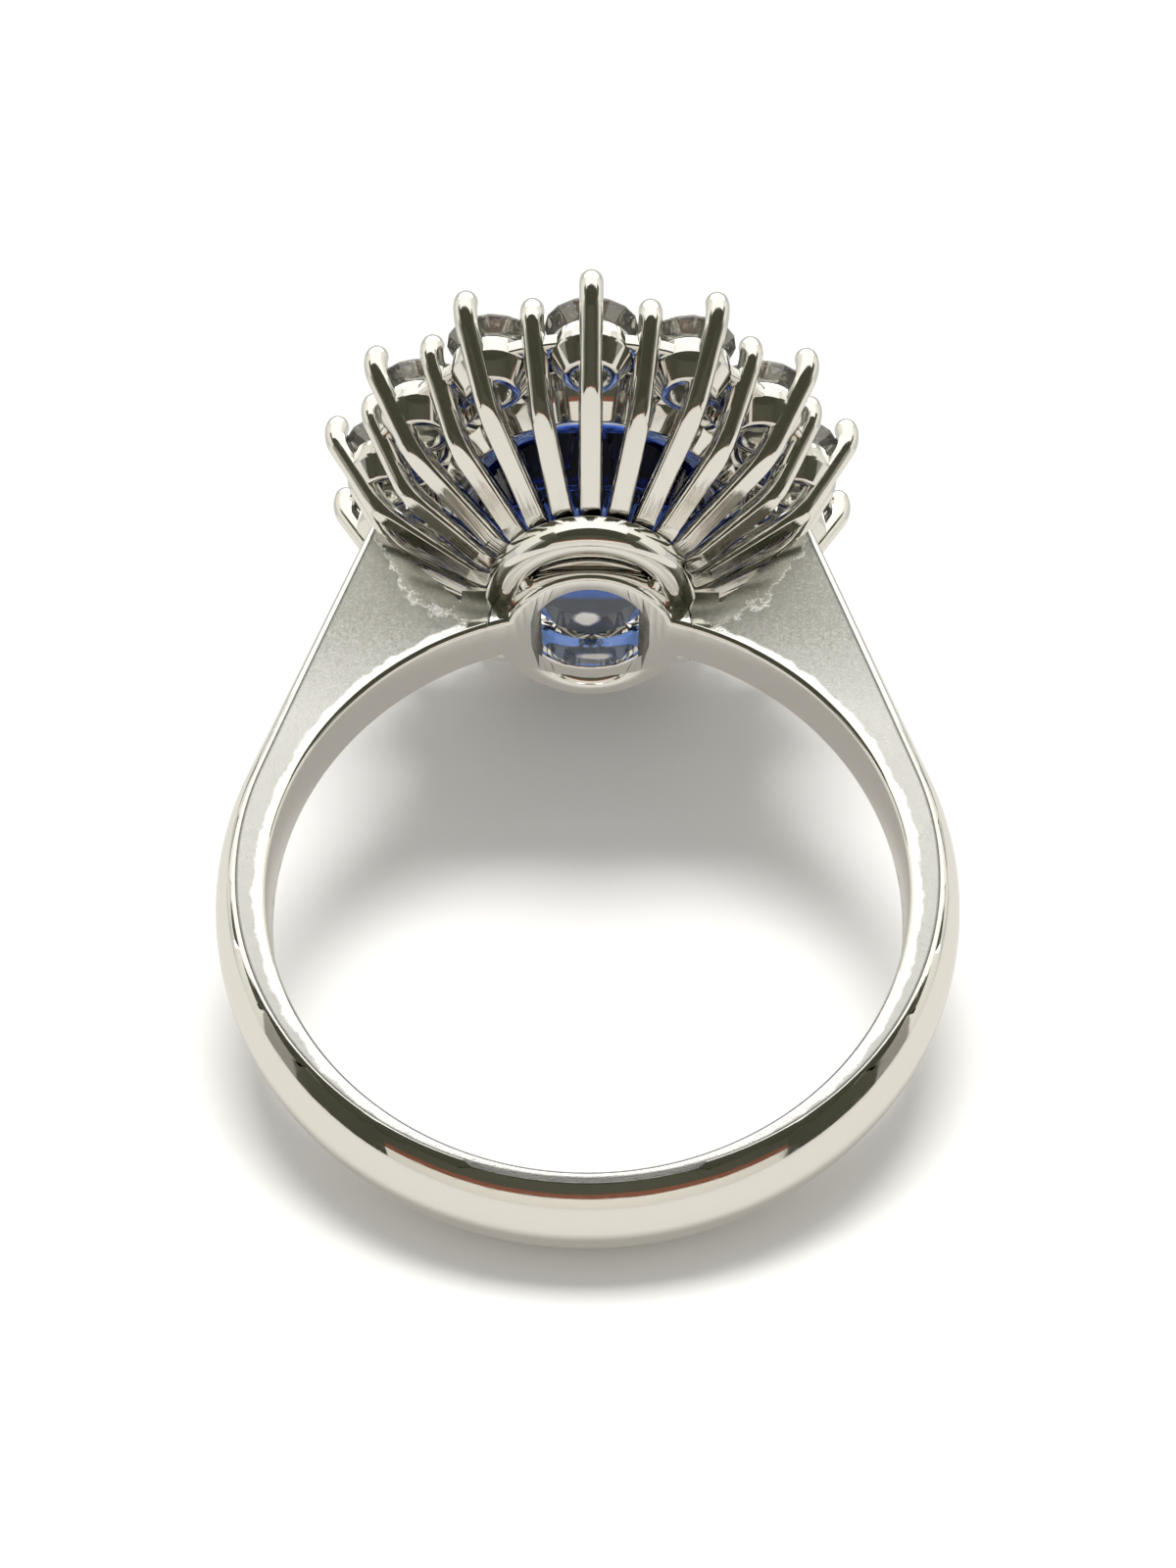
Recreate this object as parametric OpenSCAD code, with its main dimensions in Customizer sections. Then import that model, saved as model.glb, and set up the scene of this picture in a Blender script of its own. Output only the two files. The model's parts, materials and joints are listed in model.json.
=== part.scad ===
// Sapphire and diamond cluster ring, lying on its side as it rests on a table.
// Every piece is drawn in the ring's own axes: x across the hand, y along the finger,
// z from the middle of the finger hole toward the stones. rest() then lays the ring down.

/* [Finger hole and hoop] */
// Radius of the finger hole
bore_r = 8.5; // [8.2:0.1:8.8]
// Radius over the top of the hoop's rounded crown
hoop_r = 9.95; // [9.8:0.05:10.2]
// Radius of the crown's round, seen along the hoop
crown_r = 1.71; // [1.65:0.01:2]
// How far the crown's circle sits toward the stones
crown_shift = 0.1; // [0:0.05:0.2]
// Half width of the hoop, level with the middle of the finger hole
hoop_half_w = 1.2; // [1.1:0.05:1.3]
// Narrowing of each side face per millimetre toward the stones
side_slope = 0.04; // [0.02:0.005:0.05]

/* [Shoulders] */
// Half distance between the shoulders' top corners
shoulder_x = 6.35; // [6:0.05:6.6]
// Height of the shoulders' top corners
shoulder_z = 11.6; // [11.3:0.05:11.8]
// Half distance between the feet of the shoulders' top edges
shoulder_foot_x = 2.6; // [2.4:0.05:3]
// Height of the feet of the shoulders' top edges
shoulder_foot_z = 9.3; // [9.1:0.05:9.5]

/* [Eyelet and base ring] */
// Half width of the open eyelet across the hand
eyelet_hole_x = 1.65; // [1.5:0.05:1.75]
// Half length of the open eyelet along the finger
eyelet_hole_y = 2; // [1.8:0.05:2.1]
// Half width of the eyelet's lip across the hand
eyelet_x = 2.4; // [2.3:0.05:2.5]
// Half length of the eyelet's lip along the finger
eyelet_y = 2.6; // [2.5:0.05:2.7]
// Height of the lip's top above the finger hole's middle
eyelet_top_z = 9.25; // [9.2:0.05:9.4]
// Radius of the hollow corners between the lip and the hoop's sides
lip_fillet = 0.7; // [0.5:0.05:0.8]
// Radius of a post between the lip and the base ring
post_r = 0.22; // [0.2:0.01:0.24]
// Half width of the oval along the middle of the base ring
base_x = 2.62; // [2.6:0.01:2.65]
// Half length of the oval along the middle of the base ring
base_y = 3.75; // [3.7:0.01:3.8]
// Height of the base ring's middle
base_z = 9.2; // [9.15:0.01:9.25]
// Radius of the base ring's own round
base_r = 0.5; // [0.48:0.01:0.52]

/* [Diamonds] */
// Number of diamonds round the sapphire
diamond_count = 14; // [14]
// Radius of one diamond at its girdle
diamond_r = 1.28; // [1.2:0.01:1.3]
// Half width of the oval through the diamonds' middles
diamond_oval_x = 5.83; // [5.81:0.01:5.85]
// Half length of the oval through the diamonds' middles
diamond_oval_y = 6.83; // [6.81:0.01:6.85]
// Height of the diamonds' girdles
diamond_z = 13.85; // [13.8:0.05:13.9]

/* [Sapphire] */
// Half width of the sapphire
sapphire_x = 4.5; // [4.4:0.05:4.5]
// Half length of the sapphire
sapphire_y = 5.5; // [5.4:0.05:5.5]
// Height of the sapphire's girdle
sapphire_z = 14.1; // [14:0.05:14.3]
// Depth of the sapphire's pavilion under the girdle, down to its flat keel
sapphire_depth = 4.65; // [4.5:0.05:4.7]
// Size of the flat keel, as a share of the sapphire's width and length
sapphire_keel = 0.3; // [0.25:0.01:0.32]
// Height of the sapphire's crown above the girdle
sapphire_crown = 1.2; // [1:0.05:1.4]

/* [Wires] */
// Radius of a wire
wire_r = 0.33; // [0.3:0.01:0.34]
// Half width of the oval on which the wires' feet stand
foot_x = 2.8; // [2.75:0.01:2.85]
// Half length of the oval on which the wires' feet stand
foot_y = 3.5; // [3.45:0.01:3.55]
// Height of the wires' feet, inside the base ring
foot_z = 9.62; // [9.6:0.01:9.65]
// Slope of the wires' straight lower stretch
wire_slope = 30; // [29:0.5:31]
// Where a wire's knee is, as a share of its reach
knee_at = 0.695; // [0.68:0.005:0.71]
// Radius of the knee, above which a wire runs up more steeply
knee_r = 2; // [1.8:0.1:2.2]
// Radius of the bend where a wire turns upright beside the stones
bend_r = 1; // [0.9:0.1:1.1]
// How far outside the diamonds' oval a long wire stands
tall_out = 1.63; // [1.62:0.01:1.66]
// Height of the corner at which the long wires turn upright
tall_turn_z = 13.65; // [13.6:0.05:13.7]
// Height of the long wires' tips
tall_z = 14.5; // [14.4:0.05:14.6]
// How far outside the diamonds' oval a short wire stands, between two diamonds
short_out = 0.92; // [0.9:0.01:0.96]
// Height of the corner at which the short wires turn upright
short_turn_z = 13.4; // [13.3:0.05:13.5]
// Height of the short wires' tips
short_z = 14.25; // [14.1:0.05:14.4]

/* [Seats] */
// Radius of a seat cup at its rim, under a diamond
cup_r = 1.15; // [1.12:0.01:1.18]
// Radius of a seat cup at its foot
cup_foot_r = 0.75; // [0.72:0.01:0.78]
// Radius of the hole through a seat cup at its rim
cup_hole_r = 0.85; // [0.82:0.01:0.88]
// Radius of that hole at the cup's foot
cup_low_hole_r = 0.52; // [0.5:0.01:0.55]
// Height of the seat cups' rims
cup_top_z = 13.35; // [13.3:0.05:13.4]
// Height at which a seat cup's wall turns in toward its foot
cup_turn_z = 12.75; // [12.7:0.05:12.8]
// Height of the seat cups' feet
cup_foot_z = 12.15; // [12.1:0.05:12.2]
// Width of the rail that joins the cups and the wires
rail_w = 0.6; // [0.5:0.05:0.65]
// Height of the rail's underside
rail_z = 12.75; // [12.7:0.05:12.8]
// Thickness of the rail
rail_h = 0.4; // [0.3:0.05:0.4]

/* [Collar and claws] */
// Wall of the collar round the sapphire
collar_wall = 0.45; // [0.4:0.05:0.5]
// Height of the collar's rim
collar_top_z = 13.15; // [13.1:0.05:13.2]
// Height of the collar's foot
collar_foot_z = 12.1; // [12.05:0.05:12.2]
// How far the collar's foot is drawn in from its rim
collar_taper = 0.95; // [0.9:0.05:1]
// Radius of a claw
claw_r = 0.27; // [0.25:0.01:0.28]
// Height at which a claw starts to bend over the sapphire
claw_z = 14.12; // [14.1:0.01:14.2]

/* [Hidden] */
diamond_names = [for (i = [1 : diamond_count]) str("diamond_", i < 10 ? "0" : "", i)];
metal_colour = [0.83, 0.83, 0.81];
diamond_colour = [0.93, 0.95, 0.97];
sapphire_colour = [0.06, 0.12, 0.62];

// Places along an oval
turn = 360;
place_count = 2 * diamond_count;
fine = 96;
oval_steps = 56;
walk_steps = 180;
walk = [for (i = [0 : walk_steps]) i * turn / walk_steps];

// Point of an oval at angle t, from the end that faces up when the ring rests
function oval_point(a, b, t) = [a * sin(t), -b * cos(t)];
function oval(a, b) = [for (i = [0 : oval_steps - 1]) oval_point(a, b, -i * turn / oval_steps)];

// Distance walked round the wires' oval up to each walk angle
wire_oval_x = diamond_oval_x + tall_out;
wire_oval_y = diamond_oval_y + tall_out;
walk_points = [for (t = walk) oval_point(wire_oval_x, wire_oval_y, t)];
function walked(i, sum = 0, k = 1) =
    k > i ? sum : walked(i, sum + norm(walk_points[k] - walk_points[k - 1]), k + 1);
walk_table = [for (i = [0 : walk_steps]) [walked(i), walk[i]]];
walk_length = walk_table[walk_steps][0];

// Oval angle of a place: even places are diamonds with a long wire, odd ones lie between two
function place_angle(k) = lookup(k * walk_length / place_count, walk_table);

// Swept rods
rod_sides = 8;
bend_steps = 5;
dome_rise = 0.6;
dome_r = 0.72;

// Ring of points round a rod: middle s and z in the rod's own upright plane, leaning by lean
function rod_ring(foot, dir, s, z, lean, r) = [
    for (j = [0 : rod_sides - 1])
        let (around = (j + 0.5) * turn / rod_sides,
             side = r * cos(around),
             rise = r * sin(around),
             out = s - rise * sin(lean))
            [
                foot[0] + out * dir[0] - side * dir[1],
                foot[1] + out * dir[1] + side * dir[0],
                z + rise * cos(lean)
            ]
];

// Rows of a round bend from one lean to another: distance out, height and lean
function bend_rows(mid_s, mid_z, from, to, bend) = [
    for (i = [0 : bend_steps])
        let (lean = from + (to - from) * i / bend_steps)
            [mid_s + bend * sin(lean), mid_z - bend * cos(lean), lean]
];

// Rows of the bend at corner b of a path that runs from a by b to c
function lean(a, b) = atan2(b[1] - a[1], b[0] - a[0]);
function corner_rows(a, b, c, bend) =
    let (from = lean(a, b), to = lean(b, c), cut = bend * tan((to - from) / 2))
        bend_rows(
            b[0] - cut * cos(from) - bend * sin(from),
            b[1] - cut * sin(from) + bend * cos(from),
            from, to, bend
        );

// Points of a rod from its foot toward its tip, domed one radius past its last row
function rod_points(foot, tip, rows, r) =
    let (dir = (tip - foot) / norm(tip - foot),
         end = rows[len(rows) - 1],
         ahead = r * [cos(end[2]), sin(end[2])],
         apex = [end[0] + ahead[0], end[1] + ahead[1]])
    concat(
        [for (row = rows) each rod_ring(foot, dir, row[0], row[1], row[2], r)],
        rod_ring(foot, dir, end[0] + dome_rise * ahead[0], end[1] + dome_rise * ahead[1], end[2], r * dome_r),
        [[foot[0] + apex[0] * dir[0], foot[1] + apex[0] * dir[1], apex[1]]]
    );

module rod(points) {
    rings = (len(points) - 1) / rod_sides;
    last = len(points) - 1;
    base = (rings - 1) * rod_sides;
    polyhedron(
        points = points,
        faces = concat(
            [[for (j = [0 : rod_sides - 1]) j]],
            [for (i = [0 : rings - 2], j = [0 : rod_sides - 1])
                let (n = (j + 1) % rod_sides, low = i * rod_sides, high = low + rod_sides)
                    each [[low + j, high + n, low + n], [low + j, high + j, high + n]]],
            [for (j = [0 : rod_sides - 1]) [base + j, last, base + (j + 1) % rod_sides]]
        ),
        convexity = 4
    );
}

// Wire of a place: even places stand outside a diamond, odd ones between two
function wire_points(k) =
    let (t = place_angle(k),
         tall = k % 2 == 0,
         out = tall ? tall_out : short_out,
         foot = oval_point(foot_x, foot_y, t),
         tip = oval_point(diamond_oval_x + out, diamond_oval_y + out, t),
         reach = norm(tip - foot),
         start = [0, foot_z],
         knee = start + knee_at * reach * [1, tan(wire_slope)],
         turn_up = [reach, tall ? tall_turn_z : short_turn_z],
         end = [reach, (tall ? tall_z : short_z) - wire_r])
    rod_points(
        foot, tip,
        concat(
            [[0, foot_z, wire_slope]],
            corner_rows(start, knee, turn_up, knee_r),
            corner_rows(knee, turn_up, end, bend_r),
            [[reach, end[1], 90]]
        ),
        wire_r
    );

// Claw of a place, from the collar up and over the sapphire's edge
claw_step = 3;
claw_places = [claw_step, diamond_count - claw_step, diamond_count + claw_step, place_count - claw_step];
claw_slope = 50;
claw_bend = 0.45;
claw_hook = 70;
claw_foot_in = 0.5;
claw_out = 0.34;
function claw_points(k) =
    let (t = place_angle(k),
         foot = oval_point(sapphire_x - claw_foot_in, sapphire_y - claw_foot_in, t),
         tip = oval_point(sapphire_x + claw_out, sapphire_y + claw_out, t),
         reach = norm(tip - foot),
         start = [0, collar_foot_z + claw_r],
         turn_up = start + reach * [1, tan(claw_slope)])
    rod_points(
        foot, tip,
        concat(
            [[0, start[1], claw_slope]],
            corner_rows(start, turn_up, [reach, claw_z], claw_bend),
            bend_rows(reach - claw_bend, claw_z, 90, 90 + claw_hook, claw_bend)
        ),
        claw_r
    );

// Hoop
hoop_arc = 264;
bore_margin = 0.6;
far = 40;

// Half width between the side faces at a height
function half_w(z) = hoop_half_w - side_slope * z;

module hoop() {
    rotate([90, 0, 0])
        translate([0, crown_shift, 0])
            rotate_extrude(start = -hoop_arc / 2 - 90, angle = hoop_arc, $fn = fine)
                intersection() {
                    translate([hoop_r - crown_r, 0])
                        circle(r = crown_r, $fn = fine);
                    translate([bore_r - bore_margin, -crown_r])
                        square([hoop_r, 2 * crown_r]);
                }
}

// Shoulder: a plate under the wires, whose outer edge is rounded like the hoop's crown.
// The edge leaves the hoop as a tangent.
shoulder_rise = shoulder_z - crown_shift;
shoulder_far = norm([shoulder_x, shoulder_rise]);
tangent_angle = atan2(shoulder_rise, shoulder_x) - acos(hoop_r / shoulder_far);
tangent_x = hoop_r * cos(tangent_angle);
tangent_z = hoop_r * sin(tangent_angle) + crown_shift;
edge_length = norm([tangent_x - shoulder_x, tangent_z - shoulder_z]);
shoulder_gap = 0.2;
shoulder_end_x = eyelet_hole_x + shoulder_gap;
shoulder_end_z = shoulder_foot_z - shoulder_gap;
shoulder_inner_x = (bore_r - bore_margin) * cos(tangent_angle);

module shoulder() {
    intersection() {
        union() {
            translate([tangent_x, 0, tangent_z])
                rotate([0, -tangent_angle, 0])
                    translate([-crown_r, 0, -crown_r])
                        cylinder(r = crown_r, h = edge_length + 2 * crown_r, $fn = fine);
            upright_plate([
                [tangent_x - crown_r * cos(tangent_angle), tangent_z - crown_r * sin(tangent_angle)],
                [shoulder_x - crown_r * cos(tangent_angle), shoulder_z - crown_r * sin(tangent_angle)],
                [shoulder_x - crown_r, shoulder_z],
                [shoulder_end_x, shoulder_z],
                [shoulder_end_x, bore_r / 2],
                [shoulder_inner_x, 0]
            ]);
        }
        upright_plate([
            [tangent_x, tangent_z],
            [shoulder_x, shoulder_z],
            [shoulder_foot_x, shoulder_foot_z],
            [shoulder_end_x, shoulder_end_z],
            [shoulder_end_x, bore_r / 2],
            [bore_r / 2, tangent_z / 2]
        ]);
    }
}

// Plate of an outline in x and z, wider than the hoop
module upright_plate(outline) {
    rotate([90, 0, 0])
        translate([0, 0, -2 * crown_r])
            linear_extrude(4 * crown_r)
                polygon(outline);
}

// Everything between the two sloping side faces
module side_faces() {
    rotate([90, 0, 90])
        translate([0, 0, -far / 2])
            linear_extrude(far)
                polygon([
                    [-half_w(-far / 2), -far / 2],
                    [half_w(-far / 2), -far / 2],
                    [half_w(far / 2), far / 2],
                    [-half_w(far / 2), far / 2]
                ]);
}

module shank() {
    intersection() {
        union() {
            hoop();
            shoulder();
            mirror([1, 0, 0])
                shoulder();
        }
        side_faces();
    }
}

// Funnel of level rings, each a half width, a half length and a height, from the top down.
// A tube's rings come up again inside it and join the first. A plug has a cap at each end.
module funnel(rings, tube) {
    count = len(rings);
    steps = [0 : oval_steps - 1];
    walls = tube ? count : count - 1;
    polyhedron(
        points = [for (ring = rings, p = oval(ring[0], ring[1])) [p[0], p[1], ring[2]]],
        faces = concat(
            [for (i = [0 : walls - 1], j = steps)
                let (n = (j + 1) % oval_steps, a = i * oval_steps, b = ((i + 1) % count) * oval_steps)
                    each [[a + j, b + n, a + n], [a + j, b + j, b + n]]],
            tube ? [] : [[for (j = steps) j], [for (j = steps) count * oval_steps - 1 - j]]
        ),
        convexity = 6
    );
}

// Lip with hollow corners where it meets the hoop's sides
lip_reach = 3.6;
module lip() {
    foot_z = bore_r * cos(asin(lip_reach / bore_r)) - bore_margin;
    translate([0, 0, foot_z])
        linear_extrude(eyelet_top_z - foot_z)
            intersection() {
                offset(r = -lip_fillet, $fn = fine)
                    offset(delta = lip_fillet)
                        union() {
                            polygon(oval(eyelet_x, eyelet_y));
                            square([far, 2 * half_w(eyelet_top_z)], center = true);
                        }
                square([2 * lip_reach, far], center = true);
            }
}

// Rings of a round rod bent into an oval: the middle line's half width, half length and
// height, and the rod's radius
bead_sides = 12;
function bead_rings(x, y, z, r) = [
    for (j = [0 : bead_sides - 1])
        let (a = 90 - (j + 0.5) * turn / bead_sides)
            [x + r * cos(a), y + r * cos(a), z + r * sin(a)]
];

// Posts between the lip and the base ring, on both sides of each shoulder
post_angle = 52;
post_foot_z = (bore_r + eyelet_top_z) / 2;
module posts() {
    for (t = [post_angle, 180 - post_angle, 180 + post_angle, 360 - post_angle]) {
        low = oval_point(eyelet_x - post_r, eyelet_y - post_r, t);
        run = oval_point(base_x, base_y, t) - low;
        rise = base_z - post_foot_z;
        translate([low[0], low[1], post_foot_z])
            rotate([0, atan2(norm(run), rise), atan2(run[1], run[0])])
                cylinder(r = post_r, h = norm([norm(run), rise]), $fn = fine);
    }
}

// Lip, posts and the round base ring that the wires stand on
module eyelet() {
    lip();
    posts();
    funnel(bead_rings(base_x, base_y, base_z, base_r), true);
}

// Hole up through the lip
module eyelet_hole() {
    translate([0, 0, bore_r / 2])
        linear_extrude(bore_r)
            polygon(oval(eyelet_hole_x, eyelet_hole_y));
}

// Seat cup of a diamond, open below
module cup(k) {
    middle = oval_point(diamond_oval_x, diamond_oval_y, place_angle(k));
    translate([middle[0], middle[1], 0])
        rotate_extrude($fn = fine)
            polygon([
                [cup_low_hole_r, cup_foot_z],
                [cup_foot_r, cup_foot_z],
                [cup_r, cup_turn_z],
                [cup_r, cup_top_z],
                [cup_hole_r, cup_top_z]
            ]);
}

// Rail through the cups and the wires, open at every cup's hole
module rail() {
    outer_x = diamond_oval_x + short_out - wire_r / 2;
    outer_y = diamond_oval_y + short_out - wire_r / 2;
    translate([0, 0, rail_z])
        linear_extrude(rail_h)
            difference() {
                polygon(oval(outer_x, outer_y));
                polygon(oval(outer_x - rail_w, outer_y - rail_w));
                for (i = [0 : diamond_count - 1])
                    translate(oval_point(diamond_oval_x, diamond_oval_y, place_angle(2 * i)))
                        circle(r = cup_hole_r, $fn = fine);
            }
}

// Collar under the sapphire, a tube that narrows downward from inside the cups' walls
cup_overlap = 0.25;
module collar() {
    rim_x = diamond_oval_x - cup_r + cup_overlap;
    rim_y = diamond_oval_y - cup_r + cup_overlap;
    funnel([
        [rim_x, rim_y, collar_top_z],
        [rim_x - collar_taper, rim_y - collar_taper, collar_foot_z],
        [rim_x - collar_taper - collar_wall, rim_y - collar_taper - collar_wall, collar_foot_z],
        [rim_x - collar_wall, rim_y - collar_wall, collar_top_z]
    ], true);
}

// Cut stones
stone_mains = 8;
main_step = turn / stone_mains;
girdle_count = 2 * stone_mains;
star_ratio = 0.8;

// Points of a brilliant of radius 1 in plan, scaled by a and b: table, crown corners,
// girdle twice, belly and keel. The belly is a share of the radius and one of the depth.
function stone_points(a, b, table, crown, girdle, depth, belly, keel) =
    let (half = girdle / 2,
         cut = cos(main_step / 2),
         crown_drop = crown / (1 - table),
         star_z = half + crown - (star_ratio * cut - table) * crown_drop,
         rows = [
             [stone_mains, table, 0, half + crown],
             [stone_mains, star_ratio, 0.5, star_z],
             [girdle_count, 1, 0, half],
             [girdle_count, 1, 0, -half],
             [stone_mains, belly[0], 0.5, -half - belly[1] * depth],
             [stone_mains, keel, 0, -half - depth]
         ])
    [for (row = rows, i = [0 : row[0] - 1])
        let (t = (i + row[2]) * turn / row[0])
            [a * row[1] * sin(t), b * row[1] * cos(t), row[3]]];

// Faces of that brilliant, each seen clockwise from outside
function stone_faces() =
    let (m = stone_mains,
         g = girdle_count,
         star = m,
         top = 2 * m,
         low = top + g,
         belly = low + g,
         keel = belly + m)
    concat(
        [[for (i = [0 : m - 1]) i]],
        [for (i = [0 : m - 1])
            let (n = (i + 1) % m,
                 p = (i + m - 1) % m,
                 here = 2 * i,
                 next = (2 * i + 1) % g,
                 after = (2 * i + 2) % g)
                each [
                    [i, star + i, n],
                    [i, star + p, top + here, star + i],
                    [star + i, top + here, top + next],
                    [star + i, top + next, top + after],
                    [low + here, belly + p, belly + i],
                    [low + here, belly + i, low + next],
                    [low + next, belly + i, low + after],
                    [belly + p, keel + i, belly + i],
                    [belly + i, keel + i, keel + n]
                ]],
        [for (j = [0 : g - 1])
            let (n = (j + 1) % g)
                [top + j, low + j, low + n, top + n]],
        [[for (i = [0 : m - 1]) keel + m - 1 - i]]
    );

module stone(a, b, table, crown, girdle, depth, belly, keel) {
    polyhedron(
        points = stone_points(a, b, table, crown, girdle, depth, belly, keel),
        faces = stone_faces(),
        convexity = 2
    );
}

diamond_table = 0.56;
diamond_crown = 0.38;
diamond_girdle = 0.06;
diamond_depth = 1.08;
diamond_belly = [0.32, 0.74];
diamond_keel = 0.03;
sapphire_table = 0.55;
sapphire_girdle = 0.14;
sapphire_belly = [0.5, 0.8];

// Resting plane: the ring lies on one long wire and on the hoop's lower rim. It is level from
// side to side, so the plane is a line in y and z through the farthest point of each, seen
// along a downward direction that is worked out again each time.
rim_step = 1;
first_down = [0, 0.957, -0.289];
settling_rounds = 12;
function crown_reach(y) = hoop_r - crown_r + sqrt(crown_r * crown_r - y * y);
function rim_point(t) =
    let (y = half_w(-hoop_r), z = crown_reach(y) * cos(t) + crown_shift, reach = crown_reach(half_w(z)))
        [reach * sin(t), half_w(reach * cos(t) + crown_shift), reach * cos(t) + crown_shift];
function far_point(points, dir) =
    let (reach = [for (p = points) p * dir])
        points[search(max(reach), reach)[0]];
rim_points = [for (t = [0 : rim_step : turn]) rim_point(t)];
low_wire = wire_points(diamond_count);
function settled(dir, rounds) =
    rounds == 0 ? dir :
    let (gap = far_point(low_wire, dir) - far_point(rim_points, dir),
         square_to = [0, gap[2], -gap[1]])
        settled(square_to / norm(square_to), rounds - 1);
down = settled(first_down, settling_rounds);
up = -down;
toward_head = [0, 0, 1] - up * up[2];
along = toward_head / norm(toward_head);
across = cross(along, up);

module rest() {
    multmatrix([
        [across[0], across[1], across[2], 0],
        [along[0], along[1], along[2], 0],
        [up[0], up[1], up[2], 0]
    ])
        children();
}

module mounting() {
    color(metal_colour)
        rest()
            difference() {
                union() {
                    shank();
                    eyelet();
                    rail();
                    collar();
                    for (i = [0 : diamond_count - 1])
                        cup(2 * i);
                    for (k = [0 : place_count - 1])
                        rod(wire_points(k));
                    for (k = claw_places)
                        rod(claw_points(k));
                }
                rotate([90, 0, 0])
                    cylinder(r = bore_r, h = far / 2, center = true, $fn = fine);
                eyelet_hole();
            }
}

module sapphire() {
    color(sapphire_colour)
        rest()
            translate([0, 0, sapphire_z])
                stone(
                    sapphire_x, sapphire_y, sapphire_table,
                    sapphire_crown, sapphire_girdle, sapphire_depth, sapphire_belly, sapphire_keel
                );
}

// Diamond of a number from 1, turned to face its long wire
module diamond(number) {
    t = place_angle(2 * (number - 1));
    middle = oval_point(diamond_oval_x, diamond_oval_y, t);
    color(diamond_colour)
        rest()
            translate([middle[0], middle[1], diamond_z])
                rotate([0, 0, t])
                    stone(
                        diamond_r, diamond_r, diamond_table,
                        diamond_crown, diamond_girdle, diamond_depth, diamond_belly, diamond_keel
                    );
}

mounting();
sapphire();
for (i = [1 : diamond_count])
    diamond(i);
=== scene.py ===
"""Sapphire and diamond cluster ring, lying on its side on a sheet of white paper.

Every piece is shaped on the bench in millimetres and in the ring's own axes: x across the
hand, y along the finger, z from the middle of the finger hole toward the stones. It is laid
down on the paper, in metres, when it is done.
"""

import json
import logging
import math
from dataclasses import dataclass, field, replace
from enum import Enum
from typing import Callable

import bmesh
import bpy
from mathutils import Matrix, Vector


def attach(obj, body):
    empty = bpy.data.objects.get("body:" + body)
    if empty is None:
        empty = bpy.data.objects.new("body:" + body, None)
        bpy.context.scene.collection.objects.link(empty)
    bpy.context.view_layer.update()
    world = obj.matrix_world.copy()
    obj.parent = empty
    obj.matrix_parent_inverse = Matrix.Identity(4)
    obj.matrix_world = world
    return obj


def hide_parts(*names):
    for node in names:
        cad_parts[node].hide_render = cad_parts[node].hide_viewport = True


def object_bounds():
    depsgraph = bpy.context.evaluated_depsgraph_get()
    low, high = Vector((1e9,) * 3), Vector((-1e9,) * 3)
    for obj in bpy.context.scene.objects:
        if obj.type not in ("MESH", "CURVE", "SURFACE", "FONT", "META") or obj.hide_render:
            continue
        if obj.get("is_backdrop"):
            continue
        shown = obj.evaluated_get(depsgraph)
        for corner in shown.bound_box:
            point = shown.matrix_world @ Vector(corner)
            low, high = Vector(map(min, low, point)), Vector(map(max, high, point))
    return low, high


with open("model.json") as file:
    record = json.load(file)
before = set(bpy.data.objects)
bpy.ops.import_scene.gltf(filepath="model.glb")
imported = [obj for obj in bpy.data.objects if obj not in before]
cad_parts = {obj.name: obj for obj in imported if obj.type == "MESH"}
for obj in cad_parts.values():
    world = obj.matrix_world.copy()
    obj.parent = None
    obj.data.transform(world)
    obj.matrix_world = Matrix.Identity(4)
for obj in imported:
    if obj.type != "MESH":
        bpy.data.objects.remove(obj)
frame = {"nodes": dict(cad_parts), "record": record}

MM = 0.001
BODY = "root"
METAL_NODE = "mounting"
SAPPHIRE_NODE = "sapphire"
log = logging.getLogger("ring")

Span = tuple[float, float]
Point = tuple[float, float, float]
Colour = tuple[float, float, float, float]
Socket = bpy.types.NodeSocket
Test = Callable[[Vector], bool]
EdgeTest = Callable[[Vector, Vector], bool]
NEAR = 1e-4
ASIDE = 100.0


def laid_down() -> Matrix:
    """Gives the turn and scale that lay the ring on the paper.

    Returns:
        The matrix from the ring's own axes in millimetres to the frame in metres.
    """
    finger = Vector(frame["record"]["mounts"][0]["axis"]).normalized()
    across = Vector((1, 0, 0))
    along = -finger
    head = across.cross(along)
    turn = Matrix((across, along, head)).transposed().to_4x4()
    return turn @ Matrix.Scale(MM, 4)


@dataclass(frozen=True)
class Corner:
    """A corner of a turned outline."""

    radius: float
    height: float
    soft: float = 0.0


@dataclass(frozen=True)
class HoopForm:
    """The outline of the hoop and its plates, which the metal and its satin finish share."""

    bore_r: float = 8.5
    hoop_r: float = 9.945
    crown_r: float = 1.71
    crown_shift: float = 0.1
    half_w: float = 1.2
    slope: float = 0.04
    corner: Span = (6.35, 11.6)
    corner_foot: Span = (2.6, 9.3)

    def middle_r(self) -> float:
        """Gives the radius of the line that the middle of the crown's section follows."""
        return self.hoop_r - self.crown_r

    def flank(self) -> Span:
        """Gives the straight stretch from the round of the hoop up to the shoulder's corner.

        Returns:
            Its lean off upright in degrees, and its length.
        """
        rise = self.corner[1] - self.crown_shift
        reach = math.hypot(self.corner[0], rise)
        wrap = math.acos(self.hoop_r / reach)
        return math.degrees(math.atan2(rise, self.corner[0]) - wrap), self.hoop_r * math.tan(wrap)

    def edge_run(self) -> Span:
        """Gives how far the edge under the wires runs across and up."""
        return self.corner[0] - self.corner_foot[0], self.corner[1] - self.corner_foot[1]


# Finishes


@dataclass(frozen=True)
class Grain:
    """A noise pattern that is pressed into a surface."""

    size_mm: float
    detail: float
    depth_mm: float
    strength: float


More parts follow.
